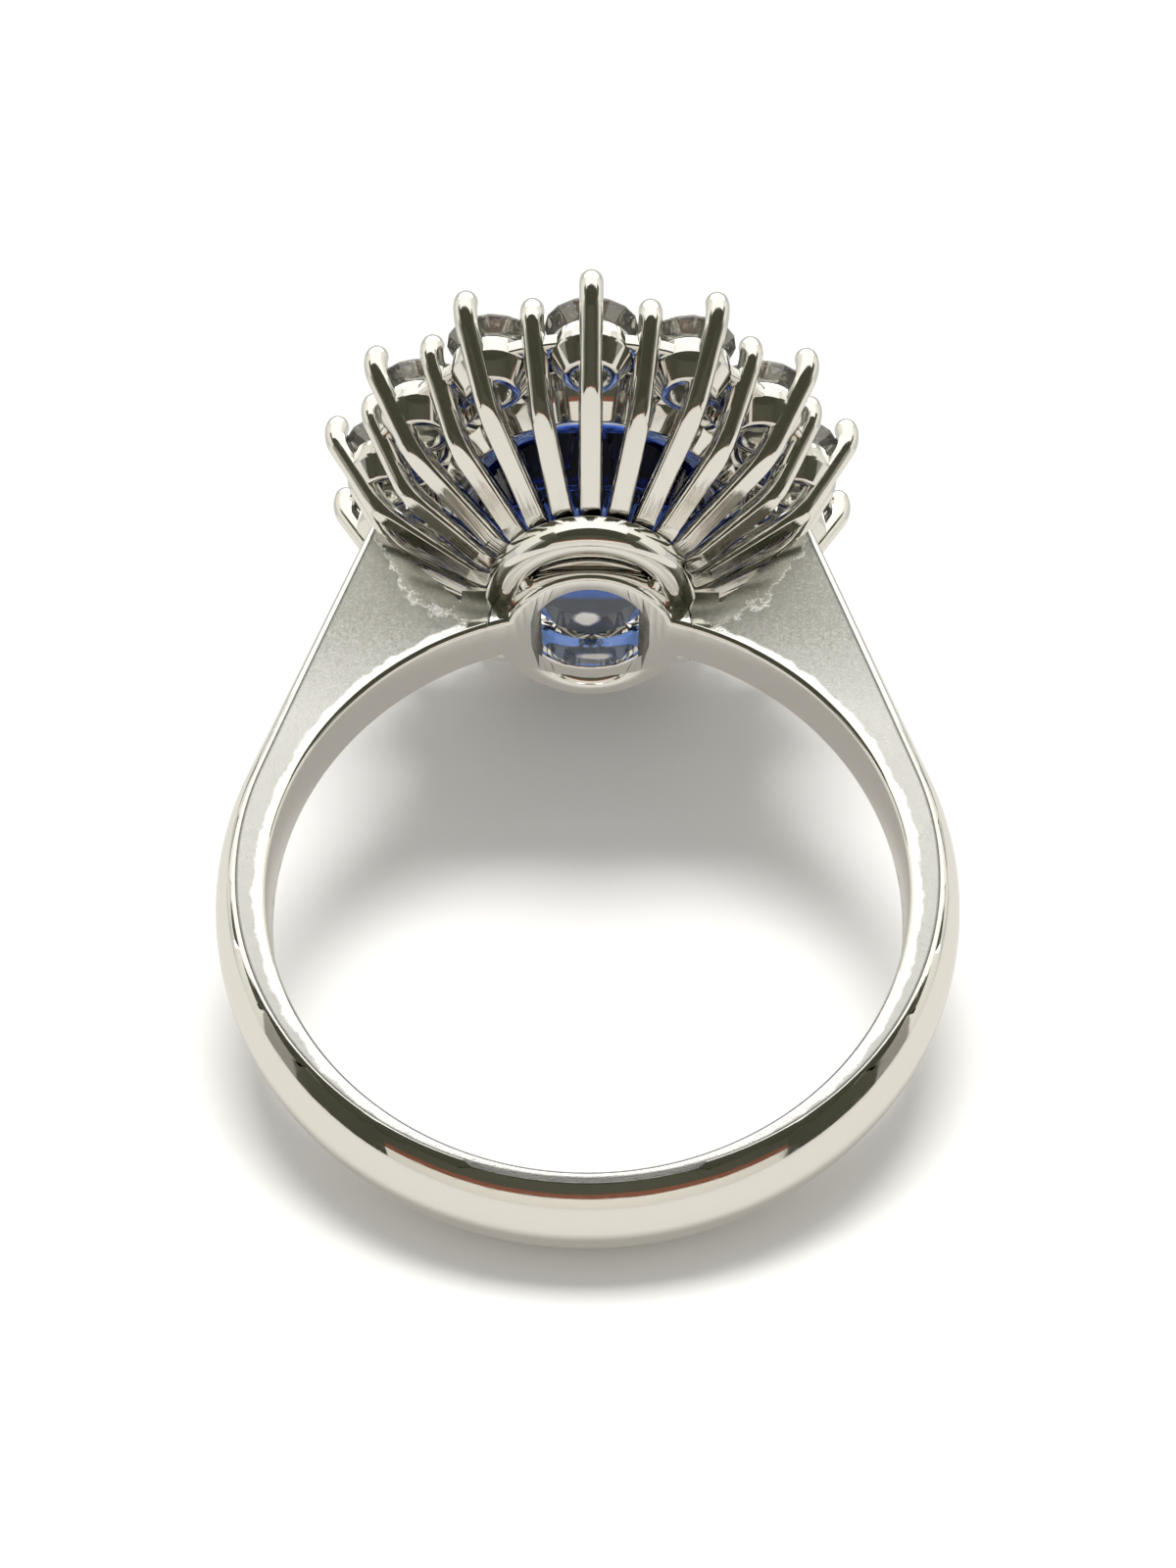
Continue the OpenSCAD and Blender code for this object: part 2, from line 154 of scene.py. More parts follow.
class Shader:
    """A node material being wired up."""

    def __init__(self, name: str) -> None:
        """Starts a material with one Principled shader.

        Args:
            name: The material's name.
        """
        self.material = bpy.data.materials.new(name)
        self.material.use_nodes = True
        self.tree = self.material.node_tree
        self.surface = self.tree.nodes["Principled BSDF"]
        self.place = self.add("ShaderNodeTexCoord").outputs["Object"]

    def add(self, kind: str, **settings: object) -> bpy.types.Node:
        """Adds a node.

        Args:
            kind: The node's type.
            settings: Properties to set on it.

        Returns:
            The node.
        """
        node = self.tree.nodes.new(kind)
        for name, value in settings.items():
            setattr(node, name, value)
        return node

    def join(self, source: Socket, target: Socket) -> None:
        """Links an output to an input."""
        self.tree.links.new(source, target)

    def drive(self, name: str, source: Socket) -> None:
        """Links an output to one of the shader's own sockets."""
        self.join(source, self.surface.inputs[name])

    def set(self, **values: object) -> None:
        """Sets the shader's own sockets.

        Args:
            values: Socket names with underscores for spaces, and their values.
        """
        for name, value in values.items():
            self.surface.inputs[name.replace("_", " ")].default_value = value

    def noise(self, grain_mm: float, detail: float, rough: float = 0.55) -> Socket:
        """Adds a noise pattern on the object's own coordinates.

        Args:
            grain_mm: Size of one patch of the pattern.
            detail: How many finer layers it has.
            rough: How strong the finer layers are.

        Returns:
            Its value output.
        """
        node = self.add("ShaderNodeTexNoise")
        node.inputs["Scale"].default_value = 1 / (grain_mm * MM)
        node.inputs["Detail"].default_value = detail
        node.inputs["Roughness"].default_value = rough
        self.join(self.place, node.inputs["Vector"])
        return node.outputs["Fac"]

    def ring_place(self) -> bpy.types.NodeOutputs:
        """Adds the place in the ring's own axes, in millimetres.

        Returns:
            The outputs X, Y and Z.
        """
        turn = self.add("ShaderNodeMapping")
        turn.inputs["Rotation"].default_value = laid_down().to_3x3().normalized().transposed().to_euler()
        turn.inputs["Scale"].default_value = (1 / MM, 1 / MM, 1 / MM)
        self.join(self.place, turn.inputs["Vector"])
        parts = self.add("ShaderNodeSeparateXYZ")
        self.join(turn.outputs["Vector"], parts.inputs["Vector"])
        return parts.outputs

    def reckon(self, operation: str, *values: Socket | float) -> Socket:
        """Adds a sum.

        Args:
            operation: The math node's operation.
            values: Its inputs, each an output of another node or a number.

        Returns:
            Its result.
        """
        node = self.add("ShaderNodeMath", operation=operation)
        for number, value in enumerate(values):
            if isinstance(value, (int, float)):
                node.inputs[number].default_value = value
            else:
                self.join(value, node.inputs[number])
        return node.outputs["Value"]

    def plus(self, first: Socket, second: Socket | float) -> Socket:
        """Adds two values."""
        return self.reckon("ADD", first, second)

    def minus(self, first: Socket | float, second: Socket | float) -> Socket:
        """Takes the second value from the first."""
        return self.reckon("SUBTRACT", first, second)

    def times(self, first: Socket, second: Socket | float) -> Socket:
        """Multiplies two values."""
        return self.reckon("MULTIPLY", first, second)

    def squares(self, first: Socket, second: Socket) -> Socket:
        """Adds the squares of two values."""
        return self.plus(self.times(first, first), self.times(second, second))

    def rays(self, lines: float, changes: float) -> Socket:
        """Adds a pattern of fine lines that run out from the ring's own z axis.

        Args:
            lines: How many lines there are per radian.
            changes: How often a line changes along z, per millimetre.

        Returns:
            Its value output.
        """
        ring = self.ring_place()
        spot = self.add("ShaderNodeCombineXYZ")
        self.join(self.times(self.reckon("ARCTAN2", ring["Y"], ring["X"]), lines), spot.inputs["X"])
        self.join(self.times(ring["Z"], changes), spot.inputs["Y"])
        node = self.add("ShaderNodeTexNoise")
        node.inputs["Scale"].default_value = 1
        node.inputs["Detail"].default_value = 2
        self.join(spot.outputs["Vector"], node.inputs["Vector"])
        return node.outputs["Fac"]

    def spread(self, source: Socket, low: float, high: float, start: float = 0.3,
               end: float = 0.7) -> Socket:
        """Maps a value's middle range onto another range.

        Args:
            source: The value.
            low: Result at the start of its range.
            high: Result at the end of its range.
            start: Start of its range.
            end: End of its range.

        Returns:
            The mapped value's output.
        """
        node = self.add("ShaderNodeMapRange")
        for name, value in (("From Min", start), ("From Max", end), ("To Min", low), ("To Max", high)):
            node.inputs[name].default_value = value
        self.join(source, node.inputs["Value"])
        return node.outputs["Result"]

    def swing(self, source: Socket, by: float, start: float = 0.3, end: float = 0.7) -> Socket:
        """Maps a value's middle range onto a swing to either side of 0."""
        return self.spread(source, -by, by, start, end)

    def blend(self, share: Socket, first: Socket | Colour, second: Socket | Colour) -> Socket:
        """Mixes two colours.

        Args:
            share: How much of the second colour there is.
            first: The first colour, or another node's colour output.
            second: The second colour, or another node's colour output.

        Returns:
            The mixed colour's output.
        """
        node = self.add("ShaderNodeMix", data_type="RGBA")
        self.join(share, node.inputs["Factor"])
        for number, colour in ((6, first), (7, second)):
            if isinstance(colour, Socket):
                self.join(colour, node.inputs[number])
            else:
                node.inputs[number].default_value = colour
        return node.outputs[2]

    def bump(self, height: Socket, depth_mm: float, strength: float) -> None:
        """Adds a bump in front of the shader's normal, over any that is there.

        Args:
            height: The pattern to raise.
            depth_mm: Its full height.
            strength: Share of it that shows.
        """
        node = self.add("ShaderNodeBump")
        node.inputs["Distance"].default_value = depth_mm * MM
        node.inputs["Strength"].default_value = strength
        self.join(height, node.inputs["Height"])
        before = self.surface.inputs["Normal"].links
        if before:
            self.join(before[0].from_socket, node.inputs["Normal"])
        self.drive("Normal", node.outputs["Normal"])

    def emboss(self, grain: Grain) -> None:
        """Presses a noise pattern into the surface."""
        self.bump(self.noise(grain.size_mm, grain.detail), grain.depth_mm, grain.strength)


@dataclass(frozen=True)
class Finish:
    """A named look, which each kind of finish wires up in its own way."""

    name: str

    def material(self) -> bpy.types.Material:
        """Builds the finish.

        Returns:
            The material.
        """
        shader = Shader(self.name)
        self.wire_up(shader)
        return shader.material

    def wire_up(self, shader: Shader) -> None:
        """Leaves the shader plain."""


@dataclass(frozen=True)
class WhiteMetal(Finish):
    """White precious metal that is rubbed a little duller in patches."""

    tint: Colour
    shine: float
    worn: float
    rub_mm: float = 0.35
    rubbed: Span = (0.42, 0.75)

    def wire_up(self, shader: Shader) -> None:
        """Colours the metal and dulls its patches.

        Args:
            shader: The material being wired up.
        """
        shader.set(Base_Color=self.tint, Metallic=1.0)
        patches = shader.noise(self.rub_mm, 6)
        shader.drive("Roughness", shader.spread(patches, self.shine, self.worn, *self.rubbed))


@dataclass(frozen=True)
class PolishedMetal(WhiteMetal):
    """White precious metal off the buffing wheel, with faint waves and rub marks."""

    name: str = "polished_white_metal"
    tint: Colour = (0.88, 0.87, 0.84, 1)
    shine: float = 0.035
    worn: float = 0.14
    waves: Grain = Grain(1.6, 1, 0.05, 0.25)
    rubs: Grain = Grain(0.35, 3, 0.003, 0.3)

    def wire_up(self, shader: Shader) -> None:
        """Adds the waves and the rub marks.

        Args:
            shader: The material being wired up.
        """
        super().wire_up(shader)
        shader.emboss(self.waves)
        shader.emboss(self.rubs)


@dataclass(frozen=True)
class DrawnWire(WhiteMetal):
    """White precious metal wire, with the fine lines of the draw plate along it."""

    name: str = "drawn_white_metal"
    tint: Colour = (0.88, 0.87, 0.83, 1)
    shine: float = 0.05
    worn: float = 0.2
    lines: Span = (60, 0.6)
    line_bump: Span = (0.012, 0.6)

    def wire_up(self, shader: Shader) -> None:
        """Adds the lines of the draw plate.

        Args:
            shader: The material being wired up.
        """
        super().wire_up(shader)
        shader.bump(shader.rays(*self.lines), *self.line_bump)


@dataclass(frozen=True)
class SatinMetal(Finish):
    """The hoop's flat sides, left satin, and buffed bright again beside the wires.

    The lines are painted into the colour: near-white painted highlights along the edge under the wires,
    round the buffed area and round the finger hole, and a painted dark reflection along the outer edge.
    They are given as the distances from their edge between which they fade out.
    """

    name: str = "satin_white_metal"
    form: HoopForm = HoopForm()
    tint: Colour = (0.8, 0.8, 0.77, 1)
    # Greyer colour higher up, on the plates.
    plate_grey: Colour = (0.5, 0.5, 0.46, 1)
    # Near-white colour of the painted highlights.
    painted_highlight: Colour = (0.98, 0.98, 0.96, 1)
    grey_z: Span = (5.2, 8.6)
    speck_mm: float = 0.12
    speck_swing: tuple[float, float, float] = (0.35, 0.4, 0.6)
    # Strength of the painted highlight round the buffed area, and where the painted highlight under the
    # wires' edge fades out.
    glint: float = 2.0
    edge_glint: Span = (0.09, 0.15)
    # Band round the finger hole: it is polished smoother, and it is also painted near-white as a
    # highlight.
    bore_glint_band: Span = (0.3, 0.38)
    bore_wave_mm: float = 0.6
    bore_wave: float = 0.08
    bore_shine: float = 0.3
    # Painted dark reflection along the outer edge: where it fades out and how dark it is.
    crown_line: Span = (0.15, 0.21)
    crown_dark: float = 0.3
    bright: float = 0.18
    satin: float = 0.25
    satin_swing: float = 0.12
    grain_mm: float = 0.05
    grain_bump: Span = (0.008, 0.6)
    patches: Grain = Grain(0.5, 2, 0.01, 0.2)
    buffed_mm: float = 1.5
    buffed_fade: float = 0.12
    buffed_end: Span = (2.4, 3.8)
    ragged_mm: float = 0.7
    ragged: float = 0.45

    def wire_up(self, shader: Shader) -> None:
        """Lays the satin, the buffed area, the painted highlight lines and the painted dark edge
        reflection over each other.

        Args:
            shader: The material being wired up.
        """
        shader.set(Metallic=1.0)
        grain = shader.noise(self.grain_mm, 2)
        below, bore_polish_glint = self.below_edge(shader), self.bore_polish_glint(shader)
        patch = self.buffed(shader, below)
        # Painted highlights: a bright line round the buffed area and one along the edge under the wires.
        patch_edge_glint = shader.times(shader.reckon("PINGPONG", patch, 0.5), self.glint)
        glint = shader.reckon("MAXIMUM", patch_edge_glint, shader.spread(below, 1, 0, *self.edge_glint))
        self.colour(shader, shader.reckon("MAXIMUM", glint, bore_polish_glint))
        satin = shader.spread(grain, self.satin - self.satin_swing, self.satin + self.satin_swing)
        rough = shader.plus(shader.times(patch, satin), self.bright)
        # The band round the finger hole is polished, so its roughness drops. Its painted highlight is in
        # the colour above.
        polish = shader.spread(bore_polish_glint, 1, self.bore_shine, 0, 1)
        shader.drive("Roughness", shader.times(rough, polish))
        shader.bump(shader.times(patch, grain), *self.grain_bump)
        shader.emboss(self.patches)

    def colour(self, shader: Shader, glint: Socket) -> None:
        """Colours the metal greyer higher up on the plates than on the hoop, in fine specks, and paints
        the highlight lines and the dark edge reflection over it.

        Args:
            shader: The material being wired up.
            glint: 1 where the painted highlight is full.
        """
        # The metal turns greyer with height, toward the plates.
        height = shader.spread(shader.ring_place()["Z"], 0, 1, *self.grey_z)
        specks = shader.swing(shader.noise(self.speck_mm, 6, 0.8), *self.speck_swing)
        share = shader.plus(height, shader.times(height, specks))
        greyed = shader.blend(share, self.tint, self.plate_grey)
        metal = shader.blend(glint, greyed, self.painted_highlight)
        # Painted dark reflection: a fine dark line along the outer edge.
        dark = tuple(self.crown_dark * part for part in self.tint[:3]) + (1,)
        shader.drive("Base Color", shader.blend(self.crown_dark_reflection(shader), metal, dark))

    def crown_dark_reflection(self, shader: Shader) -> Socket:
        """Adds the mask of the painted dark reflection, a fine line along the outer edge.

        Args:
            shader: The material being wired up.

        Returns:
            1 in the line and 0 away from it.
        """
        ring, turn = shader.ring_place(), math.radians(self.form.flank()[0])
        across = shader.reckon("ABSOLUTE", ring["X"])
        height = shader.minus(ring["Z"], self.form.crown_shift)
        out = shader.plus(shader.times(across, math.cos(turn)), shader.times(height, math.sin(turn)))
        along = shader.minus(shader.times(height, math.cos(turn)), shader.times(across, math.sin(turn)))
        along = shader.reckon("MINIMUM", along, 0.0)
        away = shader.reckon("SQRT", shader.squares(out, along))
        side = shader.times(ring["Y"], ring["Y"])
        reach = shader.reckon("SQRT", shader.minus(self.form.crown_r ** 2, side))
        inside = shader.minus(shader.plus(reach, self.form.middle_r()), away)
        return shader.spread(inside, 1, 0, *self.crown_line)

    def past_foot(self, shader: Shader) -> Socket:
        """Adds the distance across from the foot of the edge under the wires."""
        across = shader.reckon("ABSOLUTE", shader.ring_place()["X"])
        return shader.minus(across, self.form.corner_foot[0])

    def below_edge(self, shader: Shader) -> Socket:
        """Adds the distance from the edge under the wires.

        Args:
            shader: The material being wired up.

        Returns:
            How far below the edge a point lies, in millimetres.
        """
        across, up = Vector(self.form.edge_run()).normalized()
        rise = shader.minus(shader.ring_place()["Z"], self.form.corner_foot[1])
        return shader.minus(shader.times(self.past_foot(shader), up), shader.times(rise, across))

    def bore_polish_glint(self, shader: Shader) -> Socket:
        """Adds the mask of the line round the finger hole that is polished and painted bright.

        Args:
            shader: The material being wired up.

        Returns:
            1 in the line and 0 away from it.
        """
        ring = shader.ring_place()
        away = shader.reckon("SQRT", shader.squares(ring["X"], ring["Z"]))
        wavy = shader.swing(shader.noise(self.bore_wave_mm, 4), self.bore_wave)
        edge = [self.form.bore_r + wide for wide in self.bore_glint_band]
        return shader.spread(shader.plus(away, wavy), 1, 0, *edge)

    def buffed(self, shader: Shader, below: Socket) -> Socket:
        """Adds the mask of the area beside the wires that is buffed bright.

        Args:
            shader: The material being wired up.
            below: The distance from the edge under the wires.

        Returns:
            0 where the metal is bright and 1 where it is satin.
        """
        narrow = shader.spread(self.past_foot(shader), 0, self.buffed_mm, *self.buffed_end)
        ragged = shader.swing(shader.noise(self.ragged_mm, 5, 0.7), self.ragged)
        depth = shader.plus(shader.plus(below, narrow), ragged)
        return shader.spread(depth, 0, 1, self.buffed_mm - self.buffed_fade,
                             self.buffed_mm + self.buffed_fade)


@dataclass(frozen=True)
class CutStone(Finish):
    """A clear stone with polished facets."""

    colour: Colour
    bend: float
    clear: float = 1.0
    waves: Grain = Grain(0.4, 1, 0.001, 0.05)

    def wire_up(self, shader: Shader) -> None:
        """Makes the shader clear and bends the light in it.

        Args:
            shader: The material being wired up.
        """
        shader.set(Base_Color=self.colour, Roughness=0.0, IOR=self.bend, Transmission_Weight=self.clear)
        shader.emboss(self.waves)


@dataclass(frozen=True)
class ZonedStone(CutStone):
    """A stone that is paler toward its keel, with a painted reflection on its keel facet: brown toward
    one end, and a white spot that is not clear.

    The heights and the y values are where one colour passes into the next. The painted white spot has its
    middle, its half sizes and the share of them between which it fades out.
    """

    pale: Colour = (1, 1, 1, 1)
    pale_z: Span = (9.6, 11.0)
    keel_z: Span = (9.4, 9.42)
    keel: Colour = (0.25, 0.55, 0.95, 1)
    # Painted reflection on the keel facet: its brown, where the brown comes in, and the white spot.
    brown_reflection: Colour = (0.3, 0.14, 0.04, 1)
    brown_reflection_y: Span = (-0.5, -0.2)
    white_reflection: Colour = (1, 0.99, 0.95, 1)
    white_reflection_clear: float = 0.0
    white_reflection_spot: Span = (-0.1, 0.78)
    white_reflection_size: Span = (0.4, 0.36)
    white_reflection_fade: Span = (0.6, 1.2)
    ragged_mm: float = 0.4
    ragged: float = 0.25

    def wire_up(self, shader: Shader) -> None:
        """Colours the stone by height, and its keel facet from end to end, with a painted reflection on
        it: brown toward one end, and a white spot that is not clear.

        Args:
            shader: The material being wired up.
        """
        super().wire_up(shader)
        ring = shader.ring_place()
        height = shader.spread(ring["Z"], 0, 1, *self.pale_z)
        on_keel = shader.spread(ring["Z"], 1, 0, *self.keel_z)
        brown_share = shader.spread(ring["Y"], 0, 1, *self.brown_reflection_y)
        off = [shader.times(shader.minus(ring[axis], middle), 1 / size)
               for axis, middle, size in zip("XY", self.white_reflection_spot, self.white_reflection_size)]
        ragged = shader.swing(shader.noise(self.ragged_mm, 3), self.ragged)
        spot = shader.spread(shader.plus(shader.squares(*off), ragged), 1, 0, *self.white_reflection_fade)
        # Painted reflection on the keel facet: the white spot is opaque, and the brown comes in toward
        # one end.
        white_share = shader.times(spot, on_keel)
        tint = shader.blend(height, self.pale, self.colour)
        tint = shader.blend(on_keel, tint, shader.blend(brown_share, self.keel, self.brown_reflection))
        shader.drive("Base Color", shader.blend(white_share, tint, self.white_reflection))
        shader.drive("Transmission Weight", shader.spread(white_share, self.clear, self.white_reflection_clear, 0, 1))


@dataclass(frozen=True)
class Paper(Finish):
    """White paper under the ring."""

    name: str = "white_paper"
    colour: Colour = (0.9, 0.892, 0.868, 1)
    fibre: Grain = Grain(0.4, 4, 0.02, 0.1)

    def wire_up(self, shader: Shader) -> None:
        """Colours the paper and raises its fibres."""
        shader.set(Base_Color=self.colour, Roughness=0.9)
        shader.emboss(self.fibre)


@dataclass(frozen=True)
class MattCloth(Finish):
    """Matt cloth on a card that the metal reflects."""

    colour: Colour
    glow: float

    def wire_up(self, shader: Shader) -> None:
        """Colours the cloth, which may also shine of itself."""
        shader.set(Base_Color=self.colour, Roughness=0.8, Specular_IOR_Level=0.0,
                   Emission_Color=self.colour, Emission_Strength=self.glow)


# Bench


class Role(Enum):
    """What a second piece does to the first."""

    JOINED = "UNION"
    CUTTER = "DIFFERENCE"


class Workpiece:
    """One piece on the bench, shaped by edit-mode tools in the ring's own axes."""

    def __init__(self, name: str) -> None:
        """Takes the object that was just added as the piece.

        Args:
            name: The piece's name.
        """
        self.obj = bpy.context.object
        self.obj.name = name
        self.obj.data.name = name
        self.obj.data.materials.clear()
        self.heading = Matrix.Identity(4)

    @staticmethod
    def clear_bench() -> None:
        """Leaves edit mode and deselects everything."""
        if bpy.context.object is not None and bpy.context.object.mode != "OBJECT":
            bpy.ops.object.mode_set(mode="OBJECT")
        bpy.ops.object.select_all(action="DESELECT")

    @classmethod
    def started(cls, name: str) -> "Workpiece":
        """Takes the primitive that was just added as a new piece.

        Args:
            name: The piece's name.

        Returns:
            The piece, in edit mode with all of it selected.
        """
        bpy.ops.object.transform_apply()
        piece = cls(name)
        piece.edit()
        return piece

    @classmethod
    def disc(cls, name: str, radius: float, sides: int, middle: Point, facing: Point) -> "Workpiece":
        """Starts a piece from a filled circle.

        Args:
            name: The piece's name.
            radius: The circle's radius.
            sides: How many sides it has.
            middle: Its middle.
            facing: The direction that it faces.

        Returns:
            The piece, in edit mode with the circle selected.
        """
        cls.clear_bench()
        turn = Vector(facing).to_track_quat("Z", "Y").to_euler()
        bpy.ops.mesh.primitive_circle_add(
            vertices=sides, radius=radius, fill_type="NGON", location=middle, rotation=turn)
        return cls.started(name)

    @classmethod
    def block(cls, name: str, size: Point, middle: Point) -> "Workpiece":
        """Starts a piece from a box.

        Args:
            name: The piece's name.
            size: Its width, depth and height.
            middle: Its middle.

        Returns:
            The piece, in edit mode.
        """
        cls.clear_bench()
        bpy.ops.mesh.primitive_cube_add(size=1, location=middle, scale=size)
        return cls.started(name)

    @classmethod
    def plug(cls, name: str, oval: "Oval", sides: int, foot: float, top: float) -> "Workpiece":
        """Starts a piece from an upright oval plug.

        Args:
            name: The piece's name.
            oval: Its outline.
            sides: How many sides that has.
            foot: Height of its lower end.
            top: Height of its upper end.

        Returns:
            The piece, in edit mode.
        """
        piece = cls.disc(name, 1.0, sides, (0, 0, foot), (0, 0, 1))
        piece.resize((oval.x, oval.y, 1), (0, 0, foot))
        piece.extrude((0, 0, top - foot))
        piece.close_up()
        return piece

    @classmethod
    def turned(cls, name: str, corners: list[Corner], steps: int, longer: float = 0.0) -> "Workpiece":
        """Turns a closed outline round z, as on a lathe.

        Args:
            name: The piece's name.
            corners: The outline's corners.
            steps: Steps of the turn.
            longer: How far it then reaches farther along the finger than across the hand.

        Returns:
            The piece, out of edit mode.
        """
        piece = cls.disc(name, 1.0, len(corners), (0, 0, 0), (0, -1, 0))
        starts = [vert.co.copy() for vert in bmesh.from_edit_mesh(piece.obj.data).verts]
        spots = [Vector((corner.radius + ASIDE, 0, corner.height)) for corner in corners]
        for start, spot in zip(starts, spots):
            piece.pick(lambda co, start=start: (co - start).length < NEAR)
            piece.shift(spot - start)
        for corner, spot in zip(corners, spots):
            if corner.soft:
                piece.pick(lambda co, spot=spot: (co - spot).length < NEAR)
                bpy.ops.mesh.bevel(offset=corner.soft, segments=5, affect="VERTICES", clamp_overlap=False)
        bpy.ops.mesh.select_all(action="SELECT")
        piece.shift((-ASIDE, 0, 0))
        bpy.ops.mesh.delete(type="ONLY_FACE")
        bpy.ops.mesh.select_all(action="SELECT")
        piece.spin(-360, (0, 0, 0), (0, 0, 1), steps)
        piece.close_up()
        if longer:
            piece.lengthen(longer)
        piece.to_object()
        return piece

    def lengthen(self, by: float) -> None:
        """Moves every section of a turned ring along the finger, so that its circle becomes an oval.

        Args:
            by: How far the two sections at the oval's ends move.
        """
        sections: dict[int, set[int]] = {}
        for vert in bmesh.from_edit_mesh(self.obj.data).verts:
            hundredths = round(100 * math.degrees(math.atan2(vert.co.y, vert.co.x)))
            sections.setdefault(hundredths, set()).add(vert.index)
        for hundredths, members in sections.items():
            mesh = bmesh.from_edit_mesh(self.obj.data)
            for vert in mesh.verts:
                vert.select = vert.index in members
            mesh.select_flush_mode()
            bmesh.update_edit_mesh(self.obj.data)
            self.shift((0, by * math.sin(math.radians(hundredths / 100)), 0))

    def pick(self, test: Test) -> None:
        """Selects the vertices that pass a test, and nothing else.

        Args:
            test: Given a vertex's place, says whether it is wanted.
        """
        bpy.ops.mesh.select_mode(type="VERT")
        mesh = bmesh.from_edit_mesh(self.obj.data)
        for vert in mesh.verts:
            vert.select = test(vert.co)
        mesh.select_flush_mode()
        bmesh.update_edit_mesh(self.obj.data)

    def pick_edges(self, test: EdgeTest, sharper: float) -> None:
        """Selects the sharp edges that pass a test, and nothing else.

        Args:
            test: Given the places of an edge's two ends, says whether it is wanted.
            sharper: Smallest angle between its faces, in degrees.
        """
        bpy.ops.mesh.select_all(action="DESELECT")
        bpy.ops.mesh.select_mode(type="EDGE")
        mesh = bmesh.from_edit_mesh(self.obj.data)
        for edge in mesh.edges:
            bent = edge.is_manifold and math.degrees(edge.calc_face_angle()) > sharper
            edge.select = bent and test(edge.verts[0].co, edge.verts[1].co)
        bmesh.update_edit_mesh(self.obj.data)

    def round_off(self, width: float, segments: int) -> None:
        """Rounds the selected edges."""
        bpy.ops.mesh.bevel(offset=width, segments=segments, affect="EDGES", clamp_overlap=False)

    def shift(self, by: Point) -> None:
        """Moves what is selected."""
        bpy.ops.transform.translate(value=by)

    def resize(self, by: Point, middle: Point) -> None:
        """Scales what is selected about a point."""
        bpy.ops.transform.resize(value=by, center_override=middle)

    def extrude(self, by: Point) -> None:
        """Extrudes what is selected along a vector."""
        bpy.ops.mesh.extrude_region_move(TRANSFORM_OT_translate={"value": by})

    def spin(self, angle: float, middle: Point, axis: Point, steps: int) -> None:
        """Extrudes what is selected round an axis.

        Args:
            angle: Degrees to turn, by the right-hand rule.
            middle: A point on the axis.
            axis: The axis.
            steps: Steps of the turn.
        """
        bpy.ops.mesh.spin(steps=steps, angle=-math.radians(angle), center=middle, axis=axis)

    def slice(self, point: Point, outward: Point) -> None:
        """Cuts off all that lies outward of a plane, and closes the cut.

        Args:
            point: A point on the plane.
            outward: The plane's normal, toward what is cut off.
        """
        bpy.ops.mesh.select_all(action="SELECT")
        bpy.ops.mesh.bisect(
            plane_co=point, plane_no=outward, use_fill=True, clear_outer=True, threshold=1e-5)

    def dome(self, top: Vector, ahead: Vector, radius: float, steps: int = 5,
             share: float = 0.97) -> None:
        """Closes the selected end with a dome that stops just short of its point.

        Args:
            top: The end's middle.
            ahead: The direction that the dome points in.
            radius: The dome's radius.
            steps: How many rows it has.
            share: How much of the quarter turn it makes.
        """
        turns = [share * math.pi / 2 * i / steps for i in range(steps + 1)]
        for before, turn in zip(turns, turns[1:]):
            self.extrude(ahead * radius * (math.sin(turn) - math.sin(before)))
            narrower = math.cos(turn) / math.cos(before)
            self.resize((narrower, narrower, narrower), top + ahead * radius * math.sin(turn))

    def close_up(self) -> None:
        """Merges doubles and points every face outwards."""
        bpy.ops.mesh.select_all(action="SELECT")
        bpy.ops.mesh.remove_doubles(threshold=NEAR)
        bpy.ops.mesh.normals_make_consistent(inside=False)

    def edit(self) -> None:
        """Enters edit mode with the whole piece selected."""
        bpy.ops.object.mode_set(mode="EDIT")
        bpy.ops.mesh.select_all(action="SELECT")

    def to_object(self) -> None:
        """Leaves edit mode with this piece alone selected."""
        if self.obj.mode != "OBJECT":
            bpy.ops.object.mode_set(mode="OBJECT")
        bpy.ops.object.select_all(action="DESELECT")
        bpy.context.view_layer.objects.active = self.obj
        self.obj.select_set(True)

    def modify(self, kind: str, **settings: object) -> None:
        """Adds a modifier and applies it.

        Args:
            kind: The modifier's type.
            settings: Its properties.
        """
        self.to_object()
        modifier = self.obj.modifiers.new(kind.lower(), kind)
        for name, value in settings.items():
            setattr(modifier, name, value)
        bpy.ops.object.modifier_apply(modifier=modifier.name)

    def combine(self, tool: "Workpiece", role: Role) -> None:
        """Joins another piece to this one or cuts it away, and drops it.

        Args:
            tool: The other piece.
            role: What it does to this one.
        """
        tool.to_object()
        self.modify("BOOLEAN", object=tool.obj, operation=role.value, solver="EXACT")
        bpy.data.objects.remove(tool.obj)

    def move_to(self, place: Matrix) -> None:
        """Turns and moves the whole piece, and keeps that in its mesh."""
        self.to_object()
        self.obj.matrix_world = place @ self.obj.matrix_world
        bpy.ops.object.transform_apply()

    def copy(self, name: str, place: Matrix) -> "Workpiece":
        """Makes a copy with its own mesh.

        Args:
            name: The copy's name.
            place: Where it goes, in the ring's axes.

        Returns:
            The copy.
        """
        self.to_object()
        bpy.ops.object.duplicate()
        twin = Workpiece(name)
        twin.move_to(place)
        return twin

